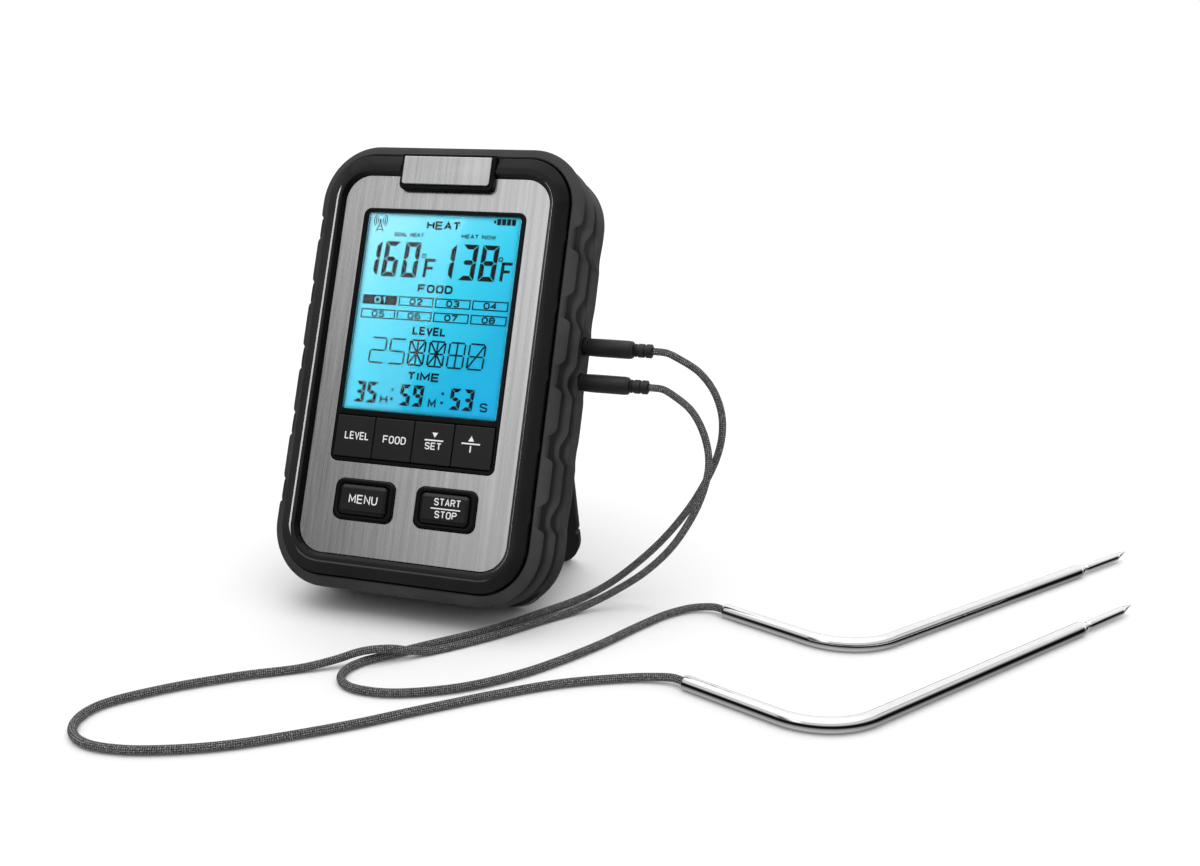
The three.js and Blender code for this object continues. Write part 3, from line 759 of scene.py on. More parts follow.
def lathe(name, profile, material, place, steps=48, sharp=38):
    """Turns (radius, distance along x) into a closed body round the x axis, in millimetres."""
    points, faces = [], []
    rings = []
    for radius, along in profile:
        if radius == 0:
            rings.append([len(points)] * steps)
            points.append((along, 0, 0))
            continue
        rings.append([len(points) + i for i in range(steps)])
        for i in range(steps):
            angle = 2 * math.pi * i / steps
            points.append((along, radius * math.cos(angle), radius * math.sin(angle)))
    for low, high in zip(rings, rings[1:]):
        for i in range(steps):
            j = (i + 1) % steps
            face = [low[i], low[j], high[j], high[i]]
            faces.append(tuple(dict.fromkeys(face)))
    return add_mesh(name, points, faces, material, place, sharp=sharp, merge=1e-7)


def frames_along(path):
    """A tangent and two steady cross directions at each point of a path."""
    tangents = []
    for i in range(len(path)):
        before, after = path[max(i - 1, 0)], path[min(i + 1, len(path) - 1)]
        tangents.append((after - before).normalized())
    side = tangents[0].orthogonal().normalized()
    frames = []
    for tangent in tangents:
        side = (side - tangent * side.dot(tangent)).normalized()
        frames.append((tangent, side, tangent.cross(side)))
    return frames


def tube(name, path, radii, material, sides=24, place=IN_PLACE):
    """A tube along a path in metres. UVs run round it once and along it in metres."""
    points, faces, uvs = [], [], []
    travel = [0.0]
    for before, after in zip(path, path[1:]):
        travel.append(travel[-1] + (after - before).length)
    for point, radius, (_, side, up) in zip(path, radii, frames_along(path)):
        for i in range(sides):
            angle = 2 * math.pi * i / sides
            points.append(point + radius * (side * math.cos(angle) + up * math.sin(angle)))
    for i in range(len(path) - 1):
        for k in range(sides):
            m = (k + 1) % sides
            faces.append((i * sides + k, i * sides + m, (i + 1) * sides + m, (i + 1) * sides + k))
            uvs.append([(k, i), (k + 1, i), (k + 1, i + 1), (k, i + 1)])
    faces.append(tuple(range(sides)))
    faces.append(tuple((len(path) - 1) * sides + k for k in range(sides)))
    mesh = bpy.data.meshes.new(name)
    mesh.from_pydata(points, [], faces)
    layer = mesh.uv_layers.new(name="UVMap")
    for polygon, corners in zip(mesh.polygons, uvs):
        for loop, (k, i) in zip(polygon.loop_indices, corners):
            layer.data[loop].uv = (k / sides, travel[i])
    turn_outwards(mesh)
    return finish_mesh(name, mesh, material, place, 50)


def smooth_path(knots, spacing):
    """Points about `spacing` apart on a centripetal Catmull-Rom curve through the knots."""
    knots = [Vector(knot) for knot in knots]
    first = knots[0] * 2 - knots[1]
    last = knots[-1] * 2 - knots[-2]
    padded = [first, *knots, last]
    path = []
    for p0, p1, p2, p3 in zip(padded, padded[1:], padded[2:], padded[3:]):
        t1 = (p1 - p0).length ** 0.5
        t2 = t1 + (p2 - p1).length ** 0.5
        t3 = t2 + (p3 - p2).length ** 0.5
        count = max(round((p2 - p1).length / spacing), 1)
        for step in range(count):
            t = t1 + (t2 - t1) * step / count
            a1 = p0.lerp(p1, t / t1)
            a2 = p1.lerp(p2, (t - t1) / (t2 - t1))
            a3 = p2.lerp(p3, (t - t2) / (t3 - t2))
            b1 = a1.lerp(a2, t / t2)
            b2 = a2.lerp(a3, (t - t1) / (t3 - t1))
            path.append(b1.lerp(b2, (t - t1) / (t2 - t1)))
    return [*path, knots[-1]]


# Letters and digits as strokes on a grid 4 wide and 6 high. True marks a curved stroke.
BOWL = [(0, 6), (3, 6), (4, 5), (4, 4), (3, 3), (0, 3)]
RING = [(2, 0), (3, 0), (4, 1.2), (4, 4.8), (3, 6), (1, 6), (0, 4.8), (0, 1.2), (1, 0), (2, 0)]
STEM = (False, [(0, 0), (0, 6)])
GLYPHS = {
    "A": [(False, [(0, 0), (2, 6), (4, 0)]), (False, [(0.8, 2), (3.2, 2)])],
    "D": [STEM, (True, [(0, 6), (2.6, 6), (4, 4.8), (4, 1.2), (2.6, 0), (0, 0)])],
    "E": [(False, [(4, 0), (0, 0), (0, 6), (4, 6)]), (False, [(0, 3), (3.6, 3)])],
    "F": [(False, [(0, 0), (0, 6), (4, 6)]), (False, [(0, 3), (3.4, 3)])],
    "G": [(True, [(4, 4.6), (3.1, 6), (1, 6), (0, 4.8), (0, 1.2), (1, 0), (4, 0), (4, 2.8), (2.4, 2.8)])],
    "H": [STEM, (False, [(4, 0), (4, 6)]), (False, [(0, 3), (4, 3)])],
    "I": [STEM],
    "L": [(False, [(0, 6), (0, 0), (3.8, 0)])],
    "M": [(False, [(0, 0), (0, 6), (2, 1.5), (4, 6), (4, 0)])],
    "N": [(False, [(0, 0), (0, 6), (4, 0), (4, 6)])],
    "O": [(True, RING)],
    "P": [STEM, (True, BOWL)],
    "R": [STEM, (True, BOWL), (False, [(2.2, 3), (4, 0)])],
    "S": [(True, [(4, 4.8), (3.2, 6), (0.8, 6), (0, 5), (0, 4), (0.8, 3.2), (3.2, 2.8), (4, 2),
                  (4, 1), (3.2, 0), (0.8, 0), (0, 1.2)])],
    "T": [(False, [(0, 6), (4, 6)]), (False, [(2, 0), (2, 6)])],
    "U": [(True, [(0, 6), (0, 1.2), (1, 0), (3, 0), (4, 1.2), (4, 6)])],
    "V": [(False, [(0, 6), (2, 0), (4, 6)])],
    "W": [(False, [(0, 6), (1, 0), (2, 5), (3, 0), (4, 6)])],
    "0": [(True, RING)],
    "1": [(False, [(0, 4.6), (4, 6), (4, 0)])],
    "2": [(True, [(0, 4.6), (0.8, 6), (3.2, 6), (4, 5), (4, 4), (0, 0), (4, 0)])],
    "3": [(True, [(0, 5), (0.8, 6), (3.2, 6), (4, 5), (4, 4), (3, 3.1), (1.4, 3.1)]),
          (True, [(1.4, 3.1), (3, 3.1), (4, 2.1), (4, 1), (3.2, 0), (0.8, 0), (0, 1)])],
    "4": [(False, [(3, 0), (3, 6), (0, 2), (4, 2)])],
    "5": [(True, [(3.8, 6), (0.4, 6), (0.2, 3.3), (3, 3.6), (4, 2.6), (4, 1), (3, 0), (0.8, 0), (0, 1)])],
    "6": [(True, [(3.6, 5.6), (2.6, 6), (1, 6), (0, 4.6), (0, 1.2), (1, 0), (3, 0), (4, 1), (4, 2.4),
                  (3, 3.4), (1, 3.4), (0, 2.4)])],
    "7": [(False, [(0, 6), (4, 6), (1.4, 0)])],
    "8": [(True, RING), (False, [(0.2, 3.1), (3.8, 3.1)])],
}


def cut_corners(points, closed):
    """Rounds a stroke by cutting each of its corners twice."""
    for _ in range(2):
        cut = []
        pairs = zip(points, points[1:] + points[:1]) if closed else zip(points, points[1:])
        for first, second in pairs:
            first, second = Vector(first), Vector(second)
            cut += [first.lerp(second, 0.25), first.lerp(second, 0.75)]
        points = cut if closed else [points[0], *cut[1:-1], points[-1]]
    return points


class Print:
    """Thin raised marks on a flat face, gathered into one mesh."""

    def __init__(self, low, high):
        self.low = low
        self.high = high
        self.shell = bmesh.new()

    def polygon(self, corners):
        low = [self.shell.verts.new((x * MM, y * MM, self.low * MM)) for x, y in corners]
        high = [self.shell.verts.new((x * MM, y * MM, self.high * MM)) for x, y in corners]
        self.shell.faces.new(low)
        self.shell.faces.new(high)
        for i in range(len(corners)):
            j = (i + 1) % len(corners)
            self.shell.faces.new((low[i], low[j], high[j], high[i]))

    def box(self, left, right, bottom, top):
        self.polygon([(left, bottom), (right, bottom), (right, top), (left, top)])

    def outline(self, left, right, bottom, top, line):
        self.box(left, right, bottom, bottom + line)
        self.box(left, right, top - line, top)
        self.box(left, left + line, bottom + line, top - line)
        self.box(right - line, right, bottom + line, top - line)

    def line(self, points, thick, closed=False):
        """A ribbon of even thickness through the points, with mitred corners."""
        points = [Vector(point) for point in points]
        count = len(points)
        rails = []
        for i, point in enumerate(points):
            before = points[i - 1] if i or closed else None
            after = points[(i + 1) % count] if i < count - 1 or closed else None
            into = (point - before).normalized() if before else (after - point).normalized()
            out = (after - point).normalized() if after else into
            side = Vector((-into.y - out.y, into.x + out.x)).normalized()
            reach = thick / 2 / max(side.dot(Vector((-out.y, out.x))), 0.45)
            rails.append((point + side * reach, point - side * reach))
        corners = [
            [self.shell.verts.new((spot.x * MM, spot.y * MM, level * MM))
             for spot in rail for level in (self.low, self.high)]
            for rail in rails
        ]
        if closed:
            corners.append(corners[0])
        else:
            self.shell.faces.new([corners[0][i] for i in (0, 1, 3, 2)])
            self.shell.faces.new([corners[-1][i] for i in (0, 1, 3, 2)])
        for first, second in zip(corners, corners[1:]):
            for i, j in ((0, 1), (1, 3), (3, 2), (2, 0)):
                self.shell.faces.new((first[i], first[j], second[j], second[i]))

    def text(self, words, x, y, height, width, thick):
        """Words in even strokes, centred on (x, y) and stretched to fill the height and width."""
        spans = []
        pen = 0.0
        for letter in words:
            wide = {" ": 1.6, "I": 0.0, "1": 1.6, "M": 4.8, "W": 5.6}.get(letter, 4.0)
            spans.append((pen, wide))
            pen += wide + 1.9
        total = pen - 1.9
        tall = (height - thick) / 6
        across = (width - thick) / total
        for letter, (start, wide) in zip(words, spans):
            for curved, points in GLYPHS.get(letter, ()):
                spots = []
                for px, py in points:
                    px = start + px * wide / 4 if wide else start
                    spots.append((x + (px - total / 2) * across, y + (py - 3) * tall))
                closed = spots[0] == spots[-1]
                if closed:
                    spots = spots[:-1]
                if curved:
                    spots = cut_corners(spots, closed)
                self.line(spots, thick, closed)

    def finish(self, name, material):
        bmesh.ops.recalc_face_normals(self.shell, faces=self.shell.faces)
        mesh = bpy.data.meshes.new(name)
        self.shell.to_mesh(mesh)
        self.shell.free()
        return finish_mesh(name, mesh, material, UNIT, 20)


def settle(piece, body, slot, *replaced):
    """Rides the piece on a body and hides the CAD nodes that it stands for. The finish slot is not used.
    """
    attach(piece, body)
    if replaced:
        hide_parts(*replaced)
    return piece


# ---------------------------------------------------------------- cords and probes

# The cords' routes in metres. A point with no height lies on the table.
ROUTES = {
    "upper": [
        (0.0715, 0.012, 0.0734), (0.0775, 0.0117, 0.07), (0.0822, 0.0112, 0.0646),
        (0.0848, 0.0106, 0.058), (0.0852, 0.0099, 0.0515), (0.0839, 0.0089, 0.0446),
        (0.0812, 0.0076, 0.0378), (0.0768, 0.0057, 0.0296), (0.0686, 0.0026, 0.0186),
        (0.0574, -0.001, 0.0078), (0.0504, -0.004, 0.003), (0.045, -0.0094), (0.0388, -0.0192),
        (0.0288, -0.0342), (0.0138, -0.0504), (0.0072, -0.058), (0.0026, -0.0634), (0.0006, -0.0688),
        (0.0018, -0.0736), (0.0056, -0.0766), (0.0124, -0.0774), (0.0204, -0.0757), (0.034, -0.0684),
        (0.046, -0.057), (0.0538, -0.0464), (0.0613, -0.034), (0.0682, -0.0202), (0.0744, -0.0094),
        (0.0808, -0.0033, 0.0015),
    ],
    "lower": [
        (0.0706, 0.0075, 0.0636), (0.0764, 0.0066, 0.0597), (0.0804, 0.005, 0.0542),
        (0.0828, 0.003, 0.0474), (0.083, 0.0011, 0.0416), (0.0807, -0.0017, 0.0326),
        (0.0746, -0.0048, 0.0213), (0.067, -0.007, 0.013), (0.0584, -0.009, 0.0066),
        (0.0516, -0.012, 0.0028), (0.0464, -0.017), (0.0406, -0.0244), (0.031, -0.0374),
        (0.0164, -0.0528, 0.0014), (0.0086, -0.0588, 0.0039), (0.0024, -0.0626, 0.004),
        (-0.004, -0.0667, 0.0024), (-0.0114, -0.0716), (-0.0245, -0.0802), (-0.04, -0.0928),
        (-0.0494, -0.104), (-0.0504, -0.1104), (-0.0484, -0.1154), (-0.0442, -0.119),
        (-0.0384, -0.1206), (-0.0309, -0.1201), (-0.0238, -0.1182), (-0.0092, -0.1117),
        (0.0137, -0.0954), (0.0289, -0.0821), (0.045, -0.0684), (0.0582, -0.0586), (0.0716, -0.0516),
        (0.0792, -0.0489, 0.0015),
    ],
}


def probe_start(name):
    x, y, heading = ELBOWS[name]
    along = Vector((math.cos(math.radians(heading)), math.sin(math.radians(heading)), 0))
    return Vector((x, y, PROBE_RADIUS)) - along * PROBE_SHORT, along


def cord(name):
    start, along = probe_start(name)
    plug_end = PLUG_START + BARREL + RELIEF + GAP
    leave = UNIT @ (Vector((plug_end, SOCKETS[name], PLUG_DEPTH)) * MM)
    end = start - along * GAP * MM
    route = [(*spot, LYING)[:3] for spot in ROUTES[name]]
    knots = [leave, leave + Vector((0.004, 0, -0.0002)), *route, end - along * 0.003, end]
    path = smooth_path(knots, 0.0012)
    piece = tube(f"braided_cord_{name}", path, [CORD_RADIUS] * len(path), CORD_BRAID, 20)
    settle(piece, f"lead_{name}", "cord_braid", f"cord_{name}")
    return piece, path, leave


def bent_rod(name):
    """Points along a probe: its short arm, its elbow and its long arm. Also the far direction."""
    start, along = probe_start(name)
    side = Vector((-along.y, along.x, 0))
    cut = PROBE_BEND * math.tan(PROBE_TURN / 2)
    path = []
    first, last = PROBE_SHORT - cut, PROBE_LONG - cut
    count = round(first / 0.003)
    path += [start + along * first * i / count for i in range(count)]
    centre = start + along * first + side * PROBE_BEND
    steps = round(PROBE_BEND * PROBE_TURN / 0.0008)
    for step in range(steps + 1):
        angle = PROBE_TURN * step / steps
        path.append(centre + PROBE_BEND * (along * math.sin(angle) - side * math.cos(angle)))
    far = along * math.cos(PROBE_TURN) + side * math.sin(PROBE_TURN)
    count = round(last / 0.004)
    path += [path[-1] + far * last * (i + 1) / count for i in range(count)]
    return path, far


def probe(name):
    body = f"lead_{name}"
    path, far = bent_rod(name)
    along = (path[1] - path[0]).normalized()
    lip = [
        (0.0, 0.0012), (0.00004, 0.00168), (0.00015, 0.00187), (0.0004, 0.00197),
        (0.0008, PROBE_RADIUS),
    ]
    neck = [(0.0016, PROBE_RADIUS), (0.0009, 0.00196), (0.0004, 0.00185), (0.0001, 0.0017), (0.0, 0.0015)]
    begin = [path[0] + along * distance for distance, _ in lip]
    finish = [path[-1] - far * distance for distance, _ in neck]
    middle = [p for p in path if (p - path[0]).length > 0.0015 and (p - path[-1]).length > 0.002]
    radii = [r for _, r in lip] + [PROBE_RADIUS] * len(middle) + [r for _, r in neck]
    shaft = tube(f"polished_shaft_{name}", [*begin, *middle, *finish], radii, PROBE_STEEL, 48)
    settle(shaft, body, "probe_steel", f"probe_shaft_{name}")
    turn = Matrix.Rotation(math.atan2(far.y, far.x), 4, "Z")
    place = Matrix.Translation(path[-1]) @ turn
    needle = lathe(f"polished_needle_{name}", [
        (0, GAP), (1.3, GAP), (1.42, 0.42), (1.5, 0.8), (1.36, 1.2), (0.98, 1.75), (0.86, 2.3),
        (0.95, 2.8), (1.16, 3.2), (1.2, 3.6), (1.2, 10), (1.2, 19), (1.17, 19.6), (0, 25),
    ], PROBE_STEEL, place, 40, 28)
    point = 25
    for vertex in needle.data.vertices:
        spot = vertex.co / MM
        if spot.x > 19.7:
            vertex.co.z = (spot.z + 0.6) * MM
        if spot.x > point - 0.1:
            vertex.co.z = 0.75 * MM
    settle(needle, body, "probe_steel", f"probe_tip_{name}")
    collar = lathe(f"cord_crimp_{name}", [
        (1.15, -0.05), (1.55, -0.05), (1.62, 0.1), (1.5, 0.3), (1.15, 0.3), (1.15, -0.05),
    ], PLUG_BLACK, Matrix.Translation(path[0]) @ Matrix.Rotation(math.atan2(along.y, along.x), 4, "Z"))
    settle(collar, body, "case_black")
    return collar


def plug(name):
    body = f"lead_{name}"
    place = UNIT @ Matrix.Translation((0, SOCKETS[name] * MM, PLUG_DEPTH * MM))
    end = PLUG_START + BARREL
    barrel = lathe(f"plug_barrel_{name}", [
        (0, PLUG_START - 1), (2.3, PLUG_START - 1), (2.35, PLUG_START - 0.9), (2.35, PLUG_START),
        (2.55, PLUG_START + 0.12), (2.66, PLUG_START + 0.5),
        (2.75, PLUG_START + 3), (2.75, end - 1.5), (2.72, end - 1.25), (2.62, end - 1.1),
        (2.62, end - 0.95), (2.7, end - 0.8), (2.6, end - 0.55), (2.3, end - 0.15),
        (2.1, end), (0, end),
    ], PLUG_BLACK, place)
    settle(barrel, body, "case_black", f"plug_{name}")
    pin = lathe(f"plug_contact_{name}", [
        (0, 29.7), (0.35, 29.7), (0.75, 30.2), (1.15, 31.2), (1.25, 31.9), (1.2, 32.6),
        (0.95, 33.2), (0.95, 33.6), (1.25, 34.2), (1.25, 42.5), (1.25, 42.7), (0, 42.7),
    ], PIN_BRASS, place)
    settle(pin, body, "pin_brass", f"plug_pin_{name}")
    for index, along in enumerate((35.6, 38.6)):
        band = lathe(f"pin_insulator_{name}_{index + 1}", [
            (1.2, along), (1.27, along + 0.03), (1.27, along + 0.6), (1.2, along + 0.63),
            (1.2, along),
        ], PLUG_BLACK, place, 32)
        settle(band, body, "case_black")
    start = end + GAP
    profile = [(1.15, start), (1.9, start), (2.0, start + 0.2)]
    for index in range(2):
        at = start + 0.5 + 2.45 * index
        profile += [(2.02, at), (1.6, at + 0.12), (1.6, at + 0.5), (2.08, at + 0.65), (2.1, at + 2.2)]
    last = end + RELIEF
    profile += [(2.1, last - 0.4), (1.95, last - 0.12), (1.7, last), (1.15, last), (1.15, start)]
    relief = lathe(f"strain_sleeve_{name}", profile, PLUG_BLACK, place)
    settle(relief, body, "grip_rubber", f"strain_relief_{name}")
    return barrel, relief


add_camera()
add_world()
add_floor(studio_floor())
for lead in ("upper", "lower"):
    braid, centreline, cord_exit = cord(lead)
    crimp = probe(lead)
    barrel, relief = plug(lead)

# ---------------------------------------------------------------- front of the case


def bezel():
    """The gloss-black frame: a soft ridge beside the plate and a sharp outer rim."""
    def section(grip):
        bump = 0.28 * notch_depth(grip, 1.5, 2.5, 1.0)
        return [
            (0.2, -0.9), (0.2, 0.1), (0.26, 0.24), (0.4, 0.42), (0.98, 1.3), (1.04, 1.38),
            (1.12, 1.44), (1.24, 1.48), (1.5, 1.51), (1.8, 1.52), (2.1, 1.5), (2.4, 1.46),
            (2.7, 1.4), (3.0, 1.32), (3.5, 1.15), (4.0, 0.96), (4.6, 0.72), (5.1, 0.51), (5.5, 0.35),
            (5.66 + bump, 0.27), (5.76 + bump, 0.16), (5.8 + bump, 0.0),
            (5.8 + bump * 0.6, -0.9), (5.7, -2.2), (5.7, BEZEL_BACK),
            (4.0, BEZEL_BACK), (4.0, -2.6), (-2, -2.6), (-2, -0.9),
        ]

    piece = ring("bezel_ring", section, GLOSS_BLACK)
    settle(piece, "housing", "gloss_black", "bezel")
    left, right, bottom, top = BADGE
    seat = slab("badge_seat", box_loop(left - GAP, right + GAP, bottom - GAP, top + GAP, 2.3, 0.8),
                [], [(0, 0.02), (0, 6)], GLOSS_BLACK)
    cut_out(piece, [seat])
    return piece


def face_plate():
    holes = [box_loop(*WINDOW, 2.2, 2.4)]
    for side in (-1, 1):
        x = side * FRAMED_KEY_OFFSET
        holes.append(box_loop(x - COLLAR_HALF[0], x + COLLAR_HALF[0],
                              FRAMED_KEY_HEIGHT - COLLAR_HALF[1],
                              FRAMED_KEY_HEIGHT + COLLAR_HALF[1], 2.5))
    outer = box_loop(-PLATE_HALF, PLATE_HALF, 0, PLATE_HEIGHT, PLATE_RADIUS, steps=20)
    piece = slab("steel_face", outer, holes, edge_levels(-PLATE_THICKNESS, 0, 0.12), FACE_STEEL)
    settle(piece, "housing", "face_steel", "face_plate")


def window_frame():
    left, right, bottom, top = WINDOW
    outer = box_loop(left + 0.1, right - 0.1, bottom + 0.1, top - 0.1, 2.1, 2.3)
    holes = [box_loop(*SCREEN, 0.8, 1.3), box_loop(*STRIP, 1.2, 0.5)]
    piece = slab("black_frame", outer, holes, edge_levels(-3.4, 0.25, 0.22), GLOSS_BLACK)
    settle(piece, "housing", "key_black", "window_frame")


def screen():
    left, right, bottom, top = (SCREEN[0] + GAP, SCREEN[1] - GAP, SCREEN[2] + GAP, SCREEN[3] - GAP)
    lens = slab("lens_sheet", box_loop(left + 0.02, right - 0.02, bottom, top, 0.5, 1.0), [],
                edge_levels(-0.7, -0.1, 0.1, 0.05), CLEAR_LENS)
    settle(lens, "housing", "clear_lens", "display_lens")
    glass = slab("lit_glass", box_loop(left, right, bottom, top, 0.5, 1.0), [],
                 edge_levels(-3.2, -1.0, 0.05, 0.05), LIT_SCREEN)
    settle(glass, "housing", "lit_display", "display_glass")
    return lens


def badge():
    left, right, bottom, top = BADGE
    tray = slab("badge_tray", box_loop(left, right, bottom, top, 2.0, 0.5), [],
                edge_levels(GAP, 1.95, 0.45), GLOSS_BLACK)
    settle(tray, "housing", "gloss_black", "badge_holder")
    blank = slab("badge_blank", box_loop(left + 1.1, right - 1.1, bottom + 1.5, top - 1.1, 0.9, 0.3),
                 [], edge_levels(2.0, 2.62, 0.18), FACE_STEEL)
    settle(blank, "housing", "face_steel", "badge_plate")


# ---------------------------------------------------------------- keys

def strip_keys():
    left, right, bottom, top = STRIP
    pitch = (right - left) / STRIP_KEYS
    for index in range(STRIP_KEYS):
        x0 = left + index * pitch + (0.25 if index == 0 else 0.13)
        x1 = left + (index + 1) * pitch - (0.25 if index == STRIP_KEYS - 1 else 0.13)
        outer = box_loop(x0, x1, bottom + 0.25, top - 0.25, 0.35)
        middle = (x0 + x1) / 2
        key = slab(f"strip_cap_{index + 1}", outer, [], edge_levels(-6, 0.5, 0.22), KEY_BLACK)
        settle(key, f"strip_key_{index + 1}", "key_black", f"strip_key_{index + 1}")
        marks = Print(0.49, 0.53)
        strip_label(marks, index, middle)
        settle(marks.finish(f"strip_print_{index + 1}", WHITE_INK), f"strip_key_{index + 1}",
               "key_black")


def strip_label(marks, index, x):
    line = 0.42
    if index == 0:
        marks.text("LEVEL", x + 0.9, 35.3, 2.3, 8.0, 0.34)
    elif index == 1:
        marks.text("FOOD", x + 0.5, 35.0, 2.3, 7.4, 0.34)
    elif index == 2:
        marks.polygon([(x - 0.4, 38.3), (x + 0.5, 36.8), (x + 1.4, 38.3)])
        marks.box(x - 2.6, x + 3.3, 36.0 - line / 2, 36.0 + line / 2)
        marks.text("SET", x + 0.3, 34.3, 2.1, 5.2, 0.34)
    else:
        marks.polygon([(x - 1.6, 36.7), (x + 0.2, 36.7), (x - 0.7, 38.3)])
        marks.box(x - 3.6, x + 2.2, 36.0 - line / 2, 36.0 + line / 2)
        marks.box(x - 0.85, x - 0.45, 33.5, 35.4)


def framed_keys():
    for name, side in (("mode", -1), ("start", 1)):
        x, y = side * FRAMED_KEY_OFFSET, FRAMED_KEY_HEIGHT
        outer = box_loop(x - COLLAR_HALF[0] + 0.12, x + COLLAR_HALF[0] - 0.12,
                         y - COLLAR_HALF[1] + 0.12, y + COLLAR_HALF[1] - 0.12, 2.4)
        inner = box_loop(x - CAP_HALF[0], x + CAP_HALF[0], y - CAP_HALF[1], y + CAP_HALF[1], 1.5)
        collar = slab(f"{name}_rim", outer, [inner], edge_levels(-3.4, 1.2, 0.55), GLOSS_BLACK)
        settle(collar, "housing", "key_black", f"{name}_collar")
        cap = box_loop(x - CAP_HALF[0] + 0.2, x + CAP_HALF[0] - 0.2,
                       y - CAP_HALF[1] + 0.2, y + CAP_HALF[1] - 0.2, 1.4)
        levels = [(0, -6), (0, 1.0), (0.06, 1.2), (0.25, 1.42), (0.8, 1.78), (0.95, 1.86),
                  (1.15, 1.9)]
        key = slab(f"{name}_cap", cap, [], levels, KEY_BLACK)
        settle(key, f"{name}_key", "key_black", f"{name}_key")
        marks = Print(1.89, 1.93)
        if name == "mode":
            marks.text("MENU", x + 0.5, 16.6, 2.6, 9.2, 0.36)
        else:
            marks.text("START", x + 1.1, 18.4, 2.1, 8.3, 0.32)
            marks.box(x - 3.9, x + 5.3, 16.3, 16.65)
            marks.text("STOP", x + 1.0, 14.8, 2.1, 6.9, 0.32)
        settle(marks.finish(f"{name}_print", WHITE_INK), f"{name}_key", "key_black")


# ---------------------------------------------------------------- what the screen shows

SEGMENTS = {
    "0": "abcdef", "1": "bc", "3": "abgcd", "5": "afgcd", "6": "afgedc",
    "8": "abcdefg", "9": "abcdfg",
}


def seven_segment(marks, digit, left, bottom, width, height, thick):
    """One slanted digit. Its segments meet at narrow mitred gaps and fill the corners."""
    slant = 0.05
    gap = thick * 0.1
    half = height / 2
    upright = [(0, half + gap), (0, height - gap), (thick, height - thick - gap),
               (thick, half + thick / 2 + gap), (thick / 2, half + gap)]
    flat = [(gap, height), (width - gap, height), (width - thick - gap, height - thick),
            (thick + gap, height - thick)]
    middle = [(thick / 2 + gap, half), (thick + gap, half + thick / 2),
              (width - thick - gap, half + thick / 2), (width - thick / 2 - gap, half),
              (width - thick - gap, half - thick / 2), (thick + gap, half - thick / 2)]

    def swap_sides(shape):
        return [(width - x, y) for x, y in shape]

    def swap_ends(shape):
        return [(x, height - y) for x, y in shape]

    shapes = {
        "a": flat, "b": swap_sides(upright), "c": swap_sides(swap_ends(upright)),
        "d": swap_ends(flat), "e": swap_ends(upright), "f": upright, "g": middle,
    }
    for letter in SEGMENTS[digit]:
        marks.polygon([(left + x + slant * y, bottom + y) for x, y in shapes[letter]])


def star_segment(marks, lit, left, bottom, width, height):
    """A starburst cell, drawn in thin lines."""
    line, slant = 0.52, 0.04

    def at(x, y):
        return left + x * width + slant * y * height, bottom + y * height

    ends = {
        "a": ((0, 1), (1, 1)), "b": ((1, 1), (1, 0.5)), "c": ((1, 0.5), (1, 0)),
        "d": ((0, 0), (1, 0)), "e": ((0, 0), (0, 0.5)), "f": ((0, 0.5), (0, 1)),
        "g": ((0, 0.5), (1, 0.5)), "m": ((0.5, 1), (0.5, 0)), "x": ((0, 1), (1, 0)),
        "y": ((0, 0), (1, 1)), "j": ((0.5, 0.5), (1, 1)), "k": ((0.5, 0.5), (0.0, 0)),
    }
    for letter in lit:
        start, end = (Vector(at(*point)) for point in ends[letter])
        inset = (end - start).normalized() * line * 0.55
        marks.line([start + inset, end - inset], line)


def arc(marks, x, y, radius, middle, spread, line, steps=6):
    """A thin curved stroke, as on the signal mast."""
    angles = [math.radians(middle + spread * (i / steps - 0.5)) for i in range(steps + 1)]
    outer = [(x + radius * math.cos(a), y + radius * math.sin(a)) for a in angles]
    inner = [(x + (radius - line) * math.cos(a), y + (radius - line) * math.sin(a)) for a in angles]
    marks.polygon(outer + inner[::-1])


def status_icons(marks):
    mast_x, mast_top = -20.9, 101.3
    for side in (0, 180):
        for radius in (1.05, 1.7, 2.35):
            arc(marks, mast_x, mast_top, radius, side, 95, 0.28)
    marks.polygon([(mast_x + 0.42 * math.cos(a), mast_top + 0.42 * math.sin(a))
                   for a in (math.tau * i / 10 for i in range(10))])
    for side in (-1, 1):
        marks.line([(mast_x, mast_top - 0.4), (mast_x + side * 1.15, 97.9)], 0.26)
    for height, half in ((98.5, 0.95), (99.5, 0.6)):
        marks.line([(mast_x - half, height), (mast_x + half, height)], 0.24)
    marks.box(15.9, 16.6, 101.7, 102.6)
    for index in range(4):
        left = 16.9 + index * 1.55
        marks.box(left, left + 1.3, 101.2, 103.1)


def screen_marks():
    marks = Print(-0.98, -0.92)
    status_icons(marks)
    for words, height, width in (
        ("HEAT", 100.4, 11.0), ("FOOD", 81.0, 11.3), ("LEVEL", 68.2, 11.0), ("TIME", 54.5, 10.4),
    ):
        marks.text(words, 0.0, height, 2.6, width, 0.6)
    marks.text("GOAL HEAT", -10.9, 97.2, 1.3, 9.6, 0.28)
    marks.text("HEAT NOW", 11.7, 97.4, 1.3, 11.0, 0.28)
    temperature(marks, "160", ((-22.8, 3.0), (-18.5, 4.9), (-11.9, 5.0)), -5.0)
    temperature(marks, "138", ((1.7, 3.0), (6.7, 5.0), (13.0, 5.3)), 19.6)
    food_boxes(marks)
    cells = ["abged", "afgcd", "abcdefgmxy", "abcdefgmxy", "abcdefgm", "abcdefgjk"]
    for index, lit in enumerate(cells):
        star_segment(marks, lit, -18.5 + index * 6.35, 57.8, 4.9, 7.5)
    timer(marks)
    settle(marks.finish("screen_marks", SCREEN_INK), "housing", "lit_display")


